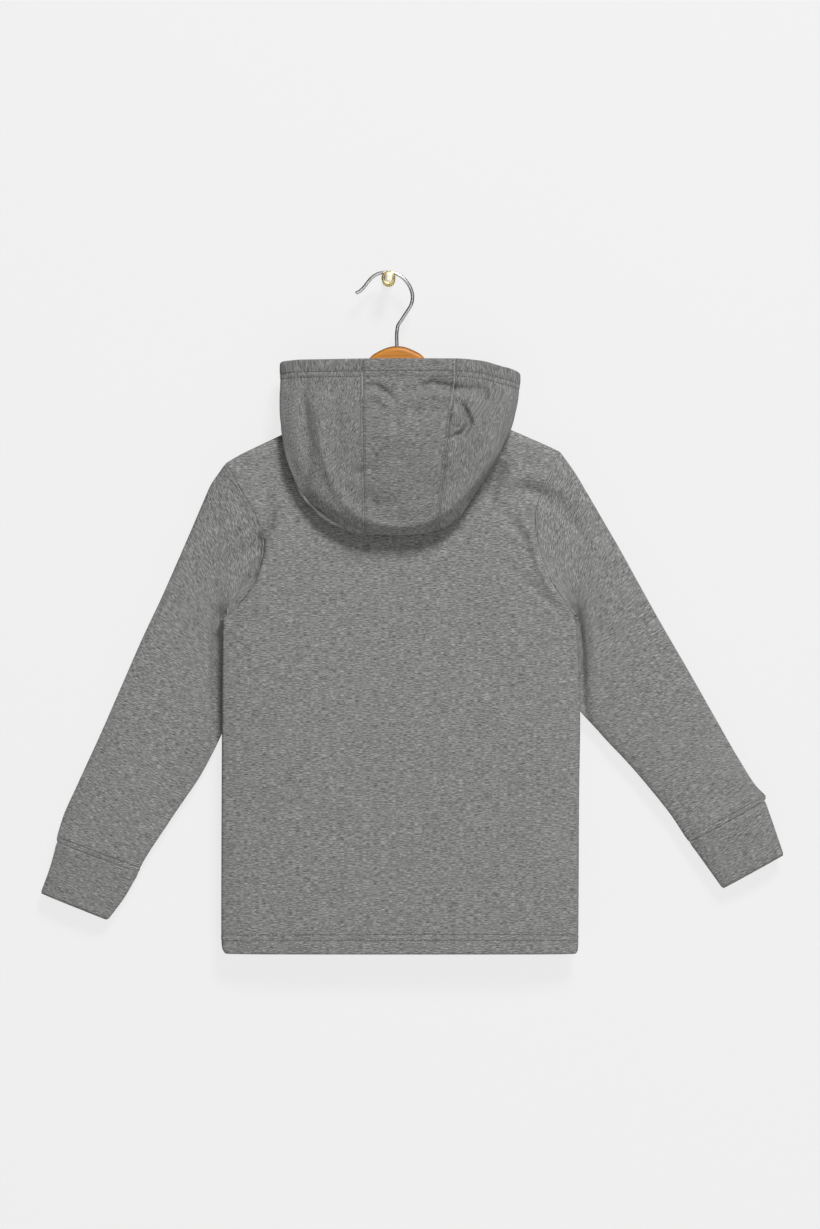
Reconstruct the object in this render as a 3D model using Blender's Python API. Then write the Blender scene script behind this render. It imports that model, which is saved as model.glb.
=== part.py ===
"""A child's hooded jersey top on a wooden hanger, hung by the hanger's wire hook on a brass wall peg.

The frame: +Z is up and +Y runs into the wall, so the garment's back faces -Y. The origin is the centre of the
peg's wall face. Left and right are as seen from -Y. Lengths here are in millimetres, and MM turns them into
Blender's metres.
"""

import math
from collections import namedtuple

import bpy
import numpy as np

MM = 0.001

# The cloth
CLOTH = 1.2  # jersey
DOUBLED = 2.4  # jersey turned in at a hem, or cut double at a cuff
SEAM_GAP = 0.3  # between two pieces that are sewn together
GARMENT_Y = -18.0  # the plane of the shoulder seams and side seams

# The body
HEM_Z = -607.9
HEM_DEEP = 18.0
BODY_HALF_DEPTH = 10.0
SIDE_ROUND = 3.2
SHOULDER_ROUND = 9.0
NECK_CENTRE_X = 10.4
NECK_HALF_WIDTH = 80.0
BACK_NECK_DROP = 12.0
FRONT_NECK_DROP = 46.0
SIDE_ROWS = 9

# The hanger
HANGER_CENTRE_X = 7.65
HUMP_CENTRE_Z = -89.6
HUMP_RADIUS = 29.0
HUMP_CORNER = 3.0  # how much the corner between hump and arm is filled
HANGER_TILT = math.radians(0.9)  # its left arm hangs lower
ARM_SLOPE = math.radians(24.5)
ARM_APEX_Z = -93.1  # where the top lines of the two arms would meet
ARM_REACH = 138.0
ARM_HEIGHT = 24.0
ARM_END_HEIGHT = 17.0
WOOD_THICK = 11.0
WOOD_ROUND = 5.1

# The hook and the peg
WIRE_RADIUS = 1.6
WIRE_CLEARANCE = 0.3
PEG_FLANGE_RADIUS = 6.0
PEG_FLANGE_THICK = 2.5
PEG_SHAFT_RADIUS = 3.6
PEG_HEAD_RADIUS = 6.3
PEG_HEAD_START = 21.5
PEG_HEAD_THICK = 6.5

# The cloth lies on the arms' tops: its shoulder lines run this far above them, and droop past their ends.
SHOULDER_RISE = 2.0
SHOULDER_DROOP = 0.005  # per millimetre squared
LEFT_TIP_X = -146.3
RIGHT_TIP_X = 154.2


def shoulder_z(x):
    """Height of the cloth on the hanger's arms."""
    away = x - HANGER_CENTRE_X
    slope = math.tan(ARM_SLOPE + (HANGER_TILT if away < 0 else -HANGER_TILT))
    droop = SHOULDER_DROOP * max(0.0, abs(away) - ARM_REACH + 3.0) ** 2
    return ARM_APEX_Z + SHOULDER_RISE - slope * abs(away) - droop


EdgePoint = namedtuple("EdgePoint", "z x")

# The body's two outlines from the hem up the side seam to the underarm, and on up the armhole to the shoulder tip.
LEFT_SIDE = [
    EdgePoint(-607.9, -146.4),
    EdgePoint(-603.0, -149.4),
    EdgePoint(-590.0, -150.6),
    EdgePoint(-460.0, -150.3),
    EdgePoint(-307.3, -149.4),
]
LEFT_ARMHOLE = [
    EdgePoint(-307.3, -149.4),
    EdgePoint(-294.0, -136.0),
    EdgePoint(-277.6, -123.4),
    EdgePoint(-252.2, -114.1),
    EdgePoint(-237.0, -112.0),
    EdgePoint(-219.1, -117.0),
    EdgePoint(-187.6, -134.0),
    EdgePoint(shoulder_z(LEFT_TIP_X), LEFT_TIP_X),
]
RIGHT_SIDE = [
    EdgePoint(-607.9, 168.2),
    EdgePoint(-604.0, 170.2),
    EdgePoint(-590.0, 170.9),
    EdgePoint(-460.0, 171.7),
    EdgePoint(-400.0, 172.6),
    EdgePoint(-338.0, 171.0),
    EdgePoint(-305.5, 168.6),
]
RIGHT_ARMHOLE = [
    EdgePoint(-305.5, 168.6),
    EdgePoint(-291.1, 158.0),
    EdgePoint(-273.7, 146.3),
    EdgePoint(-254.2, 138.5),
    EdgePoint(-236.6, 133.7),
    EdgePoint(-217.1, 131.5),
    EdgePoint(-189.7, 138.3),
    EdgePoint(shoulder_z(RIGHT_TIP_X), RIGHT_TIP_X),
]

# A sleeve's rings, from the armhole to the cuff seam. The outer end of a ring is the sleeve's top fold, and the
# inner end is its underarm fold, which tucks in behind the body's side. bow is how much of the armhole's own
# curve the ring still has.
Ring = namedtuple("Ring", "outer_x outer_z inner_x inner_z outer_y inner_y half_depth bow")
LEFT_SLEEVE = [
    Ring(LEFT_TIP_X, shoulder_z(LEFT_TIP_X), -149.4, -307.3, -18.0, -18.0, 7.0, 1.0),
    Ring(-152.6, -174.5, -151.2, -309.3, -17.2, -17.0, 6.8, 0.86),
    Ring(-159.8, -184.9, -152.6, -312.2, -16.2, -15.8, 6.5, 0.64),
    Ring(-167.9, -202.9, -152.9, -316.4, -15.2, -14.4, 6.2, 0.40),
    Ring(-178.7, -228.1, -152.5, -322.0, -14.2, -13.0, 5.9, 0.20),
    Ring(-191.3, -256.9, -151.4, -330.5, -13.2, -11.6, 5.7, 0.08),
    Ring(-205.7, -289.3, -149.2, -343.5, -12.4, -10.3, 5.6, 0.02),
    Ring(-221.9, -323.5, -147.2, -364.0, -11.8, -9.5, 5.6, 0.0),
    Ring(-240.8, -366.7, -149.0, -394.0, -11.2, -9.3, 5.7, 0.0),
    Ring(-259.7, -409.9, -168.0, -442.5, -10.8, -9.5, 5.8, 0.0),
    Ring(-279.5, -453.1, -196.3, -487.0, -10.6, -10.0, 5.8, 0.0),
    Ring(-293.9, -485.5, -215.8, -516.4, -10.5, -10.4, 5.8, 0.0),
    Ring(-299.3, -504.6, -222.8, -528.4, -10.5, -10.5, 5.8, 0.0),
    Ring(-299.2, -507.1, -225.3, -534.9, -10.5, -10.5, 5.7, 0.0),
]
RIGHT_SLEEVE = [
    Ring(RIGHT_TIP_X, shoulder_z(RIGHT_TIP_X), 168.6, -305.5, -18.0, -18.0, 7.0, 1.0),
    Ring(160.7, -164.2, 170.4, -307.3, -17.2, -17.0, 6.8, 0.86),
    Ring(168.8, -175.9, 172.0, -310.0, -16.2, -15.8, 6.5, 0.64),
    Ring(179.6, -193.9, 172.7, -314.0, -15.2, -14.4, 6.2, 0.40),
    Ring(192.2, -215.5, 172.8, -319.5, -14.2, -13.0, 5.9, 0.20),
    Ring(207.5, -241.6, 172.2, -327.5, -13.2, -11.6, 5.7, 0.08),
    Ring(226.4, -275.8, 170.8, -339.5, -12.4, -10.3, 5.6, 0.02),
    Ring(247.1, -312.7, 169.4, -356.0, -11.8, -9.5, 5.6, 0.0),
    Ring(269.6, -351.4, 170.8, -379.0, -11.2, -9.3, 5.7, 0.0),
    Ring(292.1, -391.0, 192.6, -410.0, -10.8, -9.5, 5.8, 0.0),
    Ring(313.7, -428.8, 225.0, -446.5, -10.6, -10.0, 5.8, 0.0),
    Ring(330.7, -455.8, 255.3, -484.0, -10.5, -10.4, 5.8, 0.0),
    Ring(340.3, -466.6, 268.7, -504.4, -10.5, -10.5, 5.8, 0.0),
    Ring(339.6, -470.1, 271.4, -507.6, -10.5, -10.5, 5.7, 0.0),
]

# A cuff's first and last rings.
LEFT_CUFF = [
    Ring(-299.1, -507.4, -225.4, -535.2, -10.5, -10.5, 5.7, 0.0),
    Ring(-305.5, -530.5, -238.5, -558.0, -10.5, -10.5, 5.6, 0.0),
    Ring(-313.9, -553.6, -253.4, -578.0, -10.5, -10.5, 5.6, 0.0),
]
RIGHT_CUFF = [
    Ring(339.7, -470.4, 271.5, -507.9, -10.5, -10.5, 5.7, 0.0),
    Ring(348.0, -494.0, 286.0, -528.0, -10.5, -10.5, 5.6, 0.0),
    Ring(356.6, -519.2, 301.4, -549.6, -10.5, -10.5, 5.6, 0.0),
]

# The hood's stations run round the neck: 0 is the middle of the back, 1 and -1 are the shoulders, 2 and -2 meet at
# the middle of the front. At each the cloth stands up from the neck seam, folds over outwards, hangs to the pouch's
# bottom and rises to the face edge. fold is 1 where it does so and 0 where it only stands up.
Station = namedtuple("Station", "around stand fold bottom_x bottom_y bottom_z face_x face_y face_z belly")
HOOD = [
    Station(-2.00, 2.0, 0.0, 9.6, -9.0, -172.0, 9.6, -8.0, -169.0, 0.0),
    Station(-1.60, 5.0, 0.0, -30.0, -8.5, -160.0, -46.0, -7.0, -139.0, 0.0),
    Station(-1.14, 5.0, 0.0, -74.0, -9.0, -120.0, -90.0, -9.5, -93.0, 0.0),
    Station(-1.06, 5.0, 0.03, -84.0, -13.0, -126.0, -96.5, -13.5, -81.0, 1.0),
    Station(-1.00, 6.0, 0.45, -90.0, -19.0, -134.5, -98.2, -20.5, -76.4, 1.0),
    Station(-0.97, 7.0, 0.85, -90.5, -30.5, -137.5, -97.5, -25.0, -75.5, 1.5),
    Station(-0.93, 8.0, 1.0, -89.5, -34.5, -152.0, -94.5, -29.0, -74.8, 3.0),
    Station(-0.88, 9.5, 1.0, -84.5, -36.5, -180.0, -88.5, -31.5, -74.2, 4.5),
    Station(-0.80, 12.0, 1.0, -73.0, -37.5, -203.0, -79.0, -35.0, -73.6, 6.0),
    Station(-0.60, 15.0, 1.0, -45.0, -39.0, -223.5, -51.0, -39.0, -73.3, 7.5),
    Station(-0.38, 17.0, 1.0, -21.0, -39.5, -230.5, -23.2, -41.0, -73.0, 8.2),
    Station(0.00, 18.0, 1.0, 11.0, -39.5, -231.2, 17.6, -41.5, -72.8, 8.8),
    Station(0.38, 17.0, 1.0, 44.0, -39.5, -226.5, 59.5, -41.0, -72.8, 8.2),
    Station(0.60, 15.0, 1.0, 63.0, -39.0, -216.0, 84.0, -38.5, -75.0, 7.5),
    Station(0.80, 12.0, 1.0, 82.0, -37.5, -188.0, 102.0, -34.0, -79.5, 6.0),
    Station(0.88, 9.5, 1.0, 93.0, -36.5, -170.0, 110.5, -30.5, -81.5, 4.5),
    Station(0.93, 8.0, 1.0, 101.5, -34.5, -152.0, 115.3, -28.0, -83.5, 3.0),
    Station(0.97, 7.0, 0.8, 107.5, -30.5, -140.0, 118.5, -24.5, -85.5, 1.5),
    Station(1.00, 6.0, 0.4, 107.0, -19.0, -133.5, 119.0, -20.0, -87.0, 1.0),
    Station(1.06, 5.0, 0.03, 101.0, -13.0, -128.0, 116.5, -13.5, -88.0, 1.0),
    Station(1.14, 5.0, 0.0, 90.0, -9.0, -122.0, 109.0, -9.5, -98.0, 0.0),
    Station(1.60, 5.0, 0.0, 52.0, -8.5, -160.0, 66.0, -7.0, -141.0, 0.0),
    Station(2.00, 2.0, 0.0, 11.2, -9.0, -172.0, 11.2, -8.0, -169.0, 0.0),
]
HOOD_SEAM = 0.38  # the station of the seams beside the middle strip
HALF_SEAM = 0.0022  # half of the gap at such a seam, as a station
HOOD_HEM = 16.0
FOLD_ROUND = 2.6
POUCH_ROUND = 5.0
# Stations of the neck seam, shared by the body's columns and the hood's.
HALF_NECK = [0.0, 0.19, 0.38, 0.6, 0.8, 0.88, 0.93, 0.965, 0.985, 1.0]
NECK_STATIONS = [-s for s in reversed(HALF_NECK[1:])] + HALF_NECK
# How far along a shoulder the body's columns lie, from the tip to the neck.
SHOULDER_STATIONS = [0.0, 0.016, 0.045, 0.12, 0.3, 0.52, 0.76]
# Angles round a sleeve's first ring, from its top fold down to the underarm. The body's armhole has a row at each.
RING_END_SHARE = 1.3  # how many times thicker a ring's wall is at its two ends, where the cloth turns
HALF_RING = [0, 9, 18, 30, 46, 64, 82, 100, 118, 136, 152, 166, 180]

# Soft folds of the body, as raised or sunk lines across the cloth. side is -1 on the back and 1 on the front.
Fold = namedtuple("Fold", "side start_x start_z end_x end_z width height")
BODY_FOLDS = [
    Fold(-1, -96.0, -205.0, -108.0, -246.0, 13.0, 2.2),
    Fold(-1, 70.0, -175.0, 112.0, -222.0, 20.0, 1.8),
    Fold(-1, 150.0, -330.0, 166.0, -392.0, 13.0, 1.4),
    Fold(-1, -90.0, -330.0, -60.0, -600.0, 30.0, 1.0),
    Fold(-1, 85.0, -300.0, 105.0, -600.0, 32.0, -1.2),
    Fold(1, 95.0, -200.0, 112.0, -246.0, 14.0, 2.0),
    Fold(1, -70.0, -180.0, -104.0, -232.0, 18.0, 1.8),
    Fold(1, -60.0, -300.0, -85.0, -600.0, 30.0, -1.2),
    Fold(1, 60.0, -320.0, 75.0, -600.0, 32.0, 1.0),
]

# The wire's course in its own plane, from its free end over the peg and down into the wood.
WirePoint = namedtuple("WirePoint", "x z")
HOOK_COURSE = [
    WirePoint(-29.7, -12.9),
    WirePoint(-26.6, -11.6),
    WirePoint(-23.4, -9.0),
    WirePoint(-18.9, -3.4),
    WirePoint(-13.9, 2.0),
    WirePoint(-9.4, 4.5),
    WirePoint(0.0, 5.7),
    WirePoint(6.0, 4.8),
    WirePoint(10.9, 2.4),
    WirePoint(15.9, -2.1),
    WirePoint(19.8, -8.4),
    WirePoint(21.6, -15.5),
    WirePoint(20.4, -23.2),
    WirePoint(16.4, -29.9),
    WirePoint(11.6, -37.3),
    WirePoint(8.5, -42.2),
    WirePoint(7.6, -47.0),
    WirePoint(7.5, -60.0),
    WirePoint(7.5, -73.0),
]


def smooth_curve(knots, values):
    """A function that runs smoothly through values at the knots and never overshoots them."""
    knots = np.array(knots, float)
    values = np.array(values, float).reshape(len(knots), -1)
    step = np.diff(knots)[:, None]
    slope = np.diff(values, axis=0) / step
    tangent = np.zeros_like(values)
    tangent[0] = slope[0]
    tangent[-1] = slope[-1]
    before, after = slope[:-1], slope[1:]
    same_way = before * after > 0
    total = np.where(same_way, before + after, 1.0)
    tangent[1:-1] = np.where(same_way, 2.0 * before * after / total, 0.0)

    def at(place):
        place = min(max(place, knots[0]), knots[-1])
        k = min(int(np.searchsorted(knots, place, side="right")) - 1, len(step) - 1)
        width = step[k, 0]
        t = (place - knots[k]) / width
        rise = values[k + 1] - values[k]
        start, end = tangent[k] * width, tangent[k + 1] * width
        return values[k] + t * start + t * t * (3 * rise - 2 * start - end) + t**3 * (start + end - 2 * rise)

    return at


def through_points(points):
    """A smooth curve through points in space, read from 0 to 1 by the distance along them."""
    points = np.array(points, float)
    lengths = np.linalg.norm(np.diff(points, axis=0), axis=1)
    knots = np.concatenate([[0.0], np.cumsum(lengths)]) / lengths.sum()
    tangent = np.gradient(points, knots, axis=0)

    def at(place):
        k = min(int(np.searchsorted(knots, place, side="right")) - 1, len(lengths) - 1)
        width = knots[k + 1] - knots[k]
        t = (place - knots[k]) / width
        rise = points[k + 1] - points[k]
        start, end = tangent[k] * width, tangent[k + 1] * width
        return points[k] + t * start + t * t * (3 * rise - 2 * start - end) + t**3 * (start + end - 2 * rise)

    return at, knots


def quarter_round(distance, radius):
    """Half the depth of a rounded edge at a distance in from it."""
    inside = min(max(distance, 0.0), radius)
    return math.sqrt(max(radius**2 - (radius - inside) ** 2, 0.0))


def distance_to_line(x, z, start, end):
    """How far a point is from the line between two others, and how far along that line it is."""
    line_x, line_z = end[0] - start[0], end[1] - start[1]
    along = ((x - start[0]) * line_x + (z - start[1]) * line_z) / (line_x**2 + line_z**2)
    along = min(max(along, 0.0), 1.0)
    return math.hypot(x - start[0] - along * line_x, z - start[1] - along * line_z), along


# ---- the body's outline


left_side = smooth_curve([p.z for p in LEFT_SIDE], [p.x for p in LEFT_SIDE])
right_side = smooth_curve([p.z for p in RIGHT_SIDE], [p.x for p in RIGHT_SIDE])
left_armhole = smooth_curve([p.z for p in LEFT_ARMHOLE], [p.x for p in LEFT_ARMHOLE])
right_armhole = smooth_curve([p.z for p in RIGHT_ARMHOLE], [p.x for p in RIGHT_ARMHOLE])
LEFT_TIP, RIGHT_TIP = LEFT_ARMHOLE[-1], RIGHT_ARMHOLE[-1]
LEFT_UNDERARM, RIGHT_UNDERARM = LEFT_ARMHOLE[0], RIGHT_ARMHOLE[0]


def neck_z(side, x):
    """Height of the neckline of the front (side 1) or the back (side -1)."""
    across = (x - NECK_CENTRE_X) / NECK_HALF_WIDTH
    left, right = shoulder_z(NECK_CENTRE_X - NECK_HALF_WIDTH), shoulder_z(NECK_CENTRE_X + NECK_HALF_WIDTH)
    level = left + (right - left) * (across + 1) / 2
    drop = BACK_NECK_DROP if side < 0 else FRONT_NECK_DROP
    return level - drop * (1 - abs(across) ** 2.2)


def top_z(side, x):
    """Height of a panel's top edge: shoulder, neckline, shoulder."""
    if abs(x - NECK_CENTRE_X) < NECK_HALF_WIDTH:
        return neck_z(side, x)
    return shoulder_z(x)


def outline(up):
    """Both edges of the body: up is 0 at the hem, 1 at the underarm and 2 at the shoulder tip."""
    if up <= 1.0:
        left_z = HEM_Z + up * (LEFT_UNDERARM.z - HEM_Z)
        right_z = HEM_Z + up * (RIGHT_UNDERARM.z - HEM_Z)
        return left_side(left_z)[0], left_z, right_side(right_z)[0], right_z
    left_z = LEFT_UNDERARM.z + (up - 1) * (LEFT_TIP.z - LEFT_UNDERARM.z)
    right_z = RIGHT_UNDERARM.z + (up - 1) * (RIGHT_TIP.z - RIGHT_UNDERARM.z)
    return left_armhole(left_z)[0], left_z, right_armhole(right_z)[0], right_z


def fold_height(side, x, z):
    """How far the body's soft folds raise its cloth here."""
    total = 0.0
    for fold in BODY_FOLDS:
        if fold.side == side:
            start, end = (fold.start_x, fold.start_z), (fold.end_x, fold.end_z)
            away, _ = distance_to_line(x, z, start, end)
            total += fold.height * math.exp(-((away / fold.width) ** 2))
    return total


def distance_to_shoulder(x, z, from_x, to_x):
    """How far a point is from one of the two shoulder seams."""
    nearest = min(max(x, from_x), to_x)
    below = max(shoulder_z(nearest) - z, 0.0) * math.cos(ARM_SLOPE)
    return math.hypot(x - nearest, below)


def half_depth(side, x, z):
    """How far a panel's outer face lies from the plane of the seams."""
    if z < LEFT_UNDERARM.z:
        from_left = x - left_side(z)[0]
    else:
        from_left = math.hypot(x - LEFT_UNDERARM.x, z - LEFT_UNDERARM.z)
    if z < RIGHT_UNDERARM.z:
        from_right = right_side(z)[0] - x
    else:
        from_right = math.hypot(x - RIGHT_UNDERARM.x, z - RIGHT_UNDERARM.z)
    from_side = max(min(from_left, from_right), 0.0)
    neck_left = NECK_CENTRE_X - NECK_HALF_WIDTH
    neck_right = NECK_CENTRE_X + NECK_HALF_WIDTH
    from_shoulder = min(
        distance_to_shoulder(x, z, LEFT_TIP_X, neck_left), distance_to_shoulder(x, z, neck_right, RIGHT_TIP_X)
    )
    beside = quarter_round(from_side, SIDE_ROUND)
    beside += (BODY_HALF_DEPTH - SIDE_ROUND) * (1 - math.exp(-max(from_side - SIDE_ROUND, 0.0) / 28.0))
    above = quarter_round(from_shoulder, SHOULDER_ROUND)
    above += (BODY_HALF_DEPTH - SHOULDER_ROUND) * (1 - math.exp(-max(from_shoulder - SHOULDER_ROUND, 0.0) / 20.0))
    least = min(beside, above)
    if least <= 1e-6:
        return 0.0
    depth = (beside**-4 + above**-4) ** -0.25
    return depth + fold_height(side, x, z) * min(depth / 6.0, 1.0) ** 2


def body_point(side, across, up):
    """A point of a panel's outer face: across is 0 at the left edge and 1 at the right."""
    left_x, left_z, right_x, right_z = outline(up)
    x = left_x + across * (right_x - left_x)
    level = left_z + across * (right_z - left_z)
    top_x = LEFT_TIP.x + across * (RIGHT_TIP.x - LEFT_TIP.x)
    top_level = LEFT_TIP.z + across * (RIGHT_TIP.z - LEFT_TIP.z)
    progress = (left_z - HEM_Z) / (LEFT_TIP.z - HEM_Z)
    z = level + progress**2 * (top_z(side, top_x) - top_level)
    if across in (0.0, 1.0):
        z = level
    y = GARMENT_Y + side * (SEAM_GAP / 2 + half_depth(side, x, z))
    return np.array([x, y, z])


def body_columns():
    """Places across the body, with one at each station of the neck."""
    width = RIGHT_TIP.x - LEFT_TIP.x
    neck_left = (NECK_CENTRE_X - NECK_HALF_WIDTH - LEFT_TIP.x) / width
    neck_right = (NECK_CENTRE_X + NECK_HALF_WIDTH - LEFT_TIP.x) / width
    left = [s * neck_left for s in SHOULDER_STATIONS]
    neck = [neck_left + (s + 1) / 2 * (neck_right - neck_left) for s in NECK_STATIONS]
    right = [1.0 - s * (1.0 - neck_right) for s in reversed(SHOULDER_STATIONS)]
    return left + neck + right


def body_rows():
    """Places up the body: the hem's step, the side seam, then the armhole with more rows at its ends."""
    side_length = LEFT_UNDERARM.z - HEM_Z
    hem = [0.0, 0.012, 0.03, HEM_DEEP / side_length, (HEM_DEEP + 1.0) / side_length]
    side = list(np.linspace(0.14, 1.0, SIDE_ROWS))
    armhole = [1 + (1 + math.cos(math.radians(angle))) / 2 for angle in reversed(HALF_RING[:-1])]
    return hem + side + armhole


# ---- walls of cloth


def normals_of(grid, around):
    """Unit normals of a grid of points, from the faces round each; around says that its rows are closed rings."""
    wide = np.concatenate([grid, grid[:, :1]], axis=1) if around else grid
    face = np.cross(wide[1:, 1:] - wide[:-1, :-1], wide[1:, :-1] - wide[:-1, 1:])
    face /= np.maximum(np.linalg.norm(face, axis=2, keepdims=True), 1e-9)
    normal = np.zeros_like(grid)
    columns = grid.shape[1]
    for r in range(face.shape[0]):
        for c in range(face.shape[1]):
            for row, column in ((r, c), (r, c + 1), (r + 1, c), (r + 1, c + 1)):
                normal[row, column % columns] += face[r, c]
    return normal / np.maximum(np.linalg.norm(normal, axis=2, keepdims=True), 1e-9)


def wall(name, outer, inner, around, material):
    """One closed solid between an outer and an inner grid of points; its object is returned."""
    rows, columns = outer.shape[:2]
    points = np.concatenate([outer.reshape(-1, 3), inner.reshape(-1, 3)]) * MM
    inside = rows * columns
    last = columns if around else columns - 1
    faces = []
    for r in range(rows - 1):
        for c in range(last):
            a, b = r * columns + c, r * columns + (c + 1) % columns
            d, e = a + columns, b + columns
            faces.append((a, b, e, d))
            faces.append((inside + a, inside + d, inside + e, inside + b))
    for c in range(last):
        a, b = c, (c + 1) % columns
        faces.append((a, inside + a, inside + b, b))
        a, b = a + (rows - 1) * columns, b + (rows - 1) * columns
        faces.append((a, b, inside + b, inside + a))
    if not around:
        for r in range(rows - 1):
            a, d = r * columns, (r + 1) * columns
            faces.append((a, d, inside + d, inside + a))
            a, d = a + columns - 1, d + columns - 1
            faces.append((a, inside + a, inside + d, d))
    mesh = bpy.data.meshes.new(name)
    mesh.from_pydata([tuple(p) for p in points], [], faces)
    mesh.materials.append(material)
    mesh.shade_smooth()
    mesh.set_sharp_from_angle(angle=math.radians(50))
    made = bpy.data.objects.new(name, mesh)
    bpy.context.scene.collection.objects.link(made)
    return made


def body_grids(side):
    """Outer and inner points of the front or the back panel, rows from the hem up and columns from the left."""
    columns, rows = body_columns(), body_rows()
    outer = np.array([[body_point(side, across, up) for across in columns] for up in rows])
    normal = normals_of(outer, False) * -side
    thick = np.array([DOUBLED if up * (LEFT_UNDERARM.z - HEM_Z) <= HEM_DEEP + 0.1 else CLOTH for up in rows])
    inner = outer - normal * thick[:, None, None]
    own_side = side * (inner[:, :, 1] - GARMENT_Y)
    inner[:, :, 1] = GARMENT_Y + side * np.maximum(own_side, SEAM_GAP / 2)
    return outer, inner


def body_panel(name, side, grids, material):
    """The front or the back panel."""
    outer, inner = grids[side]
    if side > 0:
        outer, inner = outer[:, ::-1], inner[:, ::-1]
    return wall(name, outer, inner, False, material)


def make_material(name, colour, roughness, metallic=0.0):
    """A plain Principled material."""
    material = bpy.data.materials.new(name)
    material.use_nodes = True
    shader = material.node_tree.nodes["Principled BSDF"]
    shader.inputs["Base Color"].default_value = (*colour, 1.0)
    shader.inputs["Roughness"].default_value = roughness
    shader.inputs["Metallic"].default_value = metallic
    material.diffuse_color = (*colour, 1.0)
    return material


def jersey(name):
    """Grey marl jersey."""
    return make_material(name, (0.22, 0.22, 0.225), 0.95)


# ---- sleeves and cuffs


def ring_angles():
    """Angles round a sleeve, from its top fold down the back to the underarm and up the front."""
    back = [math.radians(angle) for angle in HALF_RING]
    front = [2 * math.pi - angle for angle in reversed(back[1:-1])]
    return back + front


def ring_point(ring, angle, shrink=0.0):
    """A point of a flattened ring, shrunk by a wall's thickness or by none.

    Angle 0 is its outer end, and half a turn its inner end.
    """
    end = shrink * RING_END_SHARE / math.hypot(ring.outer_x - ring.inner_x, ring.outer_z - ring.inner_z)
    share = end + (1 - 2 * end) * (1 + math.cos(angle)) / 2
    x = ring.inner_x + share * (ring.outer_x - ring.inner_x)
    z = ring.inner_z + share * (ring.outer_z - ring.inner_z)
    y = ring.inner_y + share * (ring.outer_y - ring.inner_y)
    bulge = (ring.half_depth - shrink) * abs(math.sin(angle)) ** 0.8
    return np.array([x, y - bulge if math.sin(angle) > 0 else y + bulge, z])


def bow_shares(ring, angles):
    """How much of the armhole's curve a ring keeps at each angle; it goes first near the underarm."""
    shares = (1 + np.cos(angles)) / 2
    return ring.bow * np.minimum(shares / 0.3, 1.0) ** (4.2 * (1 - ring.bow))


def armhole_loop(grids, column, layer):
    """The body's armhole edge, down the back panel and up the front one: layer 0 is its outer corner."""
    rows = len(HALF_RING)
    back = grids[-1][layer][::-1, column][:rows]
    front = grids[1][layer][-rows:, column][1:-1]
    loop = np.concatenate([back, front])
    for end in (0, rows - 1):
        loop[end, 1] = GARMENT_Y
    return loop


UNDERARM_STARTS = -0.93  # cosine of the ring angle at which the sleeve's edge turns in under the arm
UNDERARM_RAISE = 1.0  # how far its inner corner is raised there, to keep the wall's thickness
UNDERARM_HEIGHT = 1.0  # thickness of the wall at the underarm itself


def off_armhole(loop, left):
    """Steps of a seam's gap that lead from the body's armhole to the sleeve, square to the armhole's curve."""
    curve = left_armhole if left else right_armhole
    steps = []
    for point in loop:
        slope = (curve(point[2] + 1.0)[0] - curve(point[2] - 1.0)[0]) / 2.0
        away = np.array([-1.0, 0.0, slope]) if left else np.array([1.0, 0.0, -slope])
        steps.append(SEAM_GAP * 1.2 * away / np.linalg.norm(away))
    return np.array(steps)


def sleeve(name, rings, left, grids, material):
    """A sleeve: its first ring is the body's armhole, moved off by a seam's gap, and its others are flattened."""
    angles = ring_angles()
    fields = smooth_curve(range(len(rings)), [list(r) for r in rings])
    places = [0.0, 0.4] + list(range(1, len(rings) - 1)) + [len(rings) - 1.5, len(rings) - 1]
    column = 0 if left else -1
    loop = armhole_loop(grids, column, 0)
    straight = np.array([ring_point(rings[0], angle) for angle in angles])
    rows = []
    for place in places:
        ring = Ring(*fields(place))
        row = np.array([ring_point(ring, angle) for angle in angles])
        rows.append(row + bow_shares(ring, angles)[:, None] * (loop - straight))
    off = off_armhole(loop, left)
    rows[0] = loop + off
    outer = np.array(rows)
    inner = outer - normals_of(outer, True) * (-CLOTH if left else CLOTH)
    inner[0] = armhole_loop(grids, column, 1) + off
    for k, angle in enumerate(angles):
        if math.cos(angle) < UNDERARM_STARTS:
            inner[0, k, 2] += UNDERARM_RAISE
    underarm = len(HALF_RING) - 1
    inner[0, underarm] = outer[0, underarm] + np.array([0.0, 0.0, UNDERARM_HEIGHT])
    if left:
        outer, inner = outer[:, ::-1], inner[:, ::-1]
    return wall(name, outer, inner, True, material)


def cuff(name, rings, left, material):
    """A cuff: a short tube of doubled cloth."""
    fields = smooth_curve(range(len(rings)), [list(r) for r in rings])
    sections = [Ring(*fields(place)) for place in np.linspace(0.0, len(rings) - 1, 5)]
    angles = ring_angles()
    if left:
        angles = angles[::-1]
    outer = np.array([[ring_point(ring, angle) for angle in angles] for ring in sections])
    inner = np.array([[ring_point(ring, angle, DOUBLED) for angle in angles] for ring in sections])
    return wall(name, outer, inner, True, material)


# ---- the hood


hood_fields = smooth_curve([s.around for s in HOOD], [list(s) for s in HOOD])


def outward_of(around):
    """The level direction that the hood folds towards: back, to a side past the shoulder, then to the wall."""
    quarter = abs(around) ** 5 if abs(around) <= 1.0 else 2 - (2 - abs(around)) ** 5
    turn = math.copysign(math.pi / 2 * quarter, around)
    return np.array([math.sin(turn), -math.cos(turn), 0.0])


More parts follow.
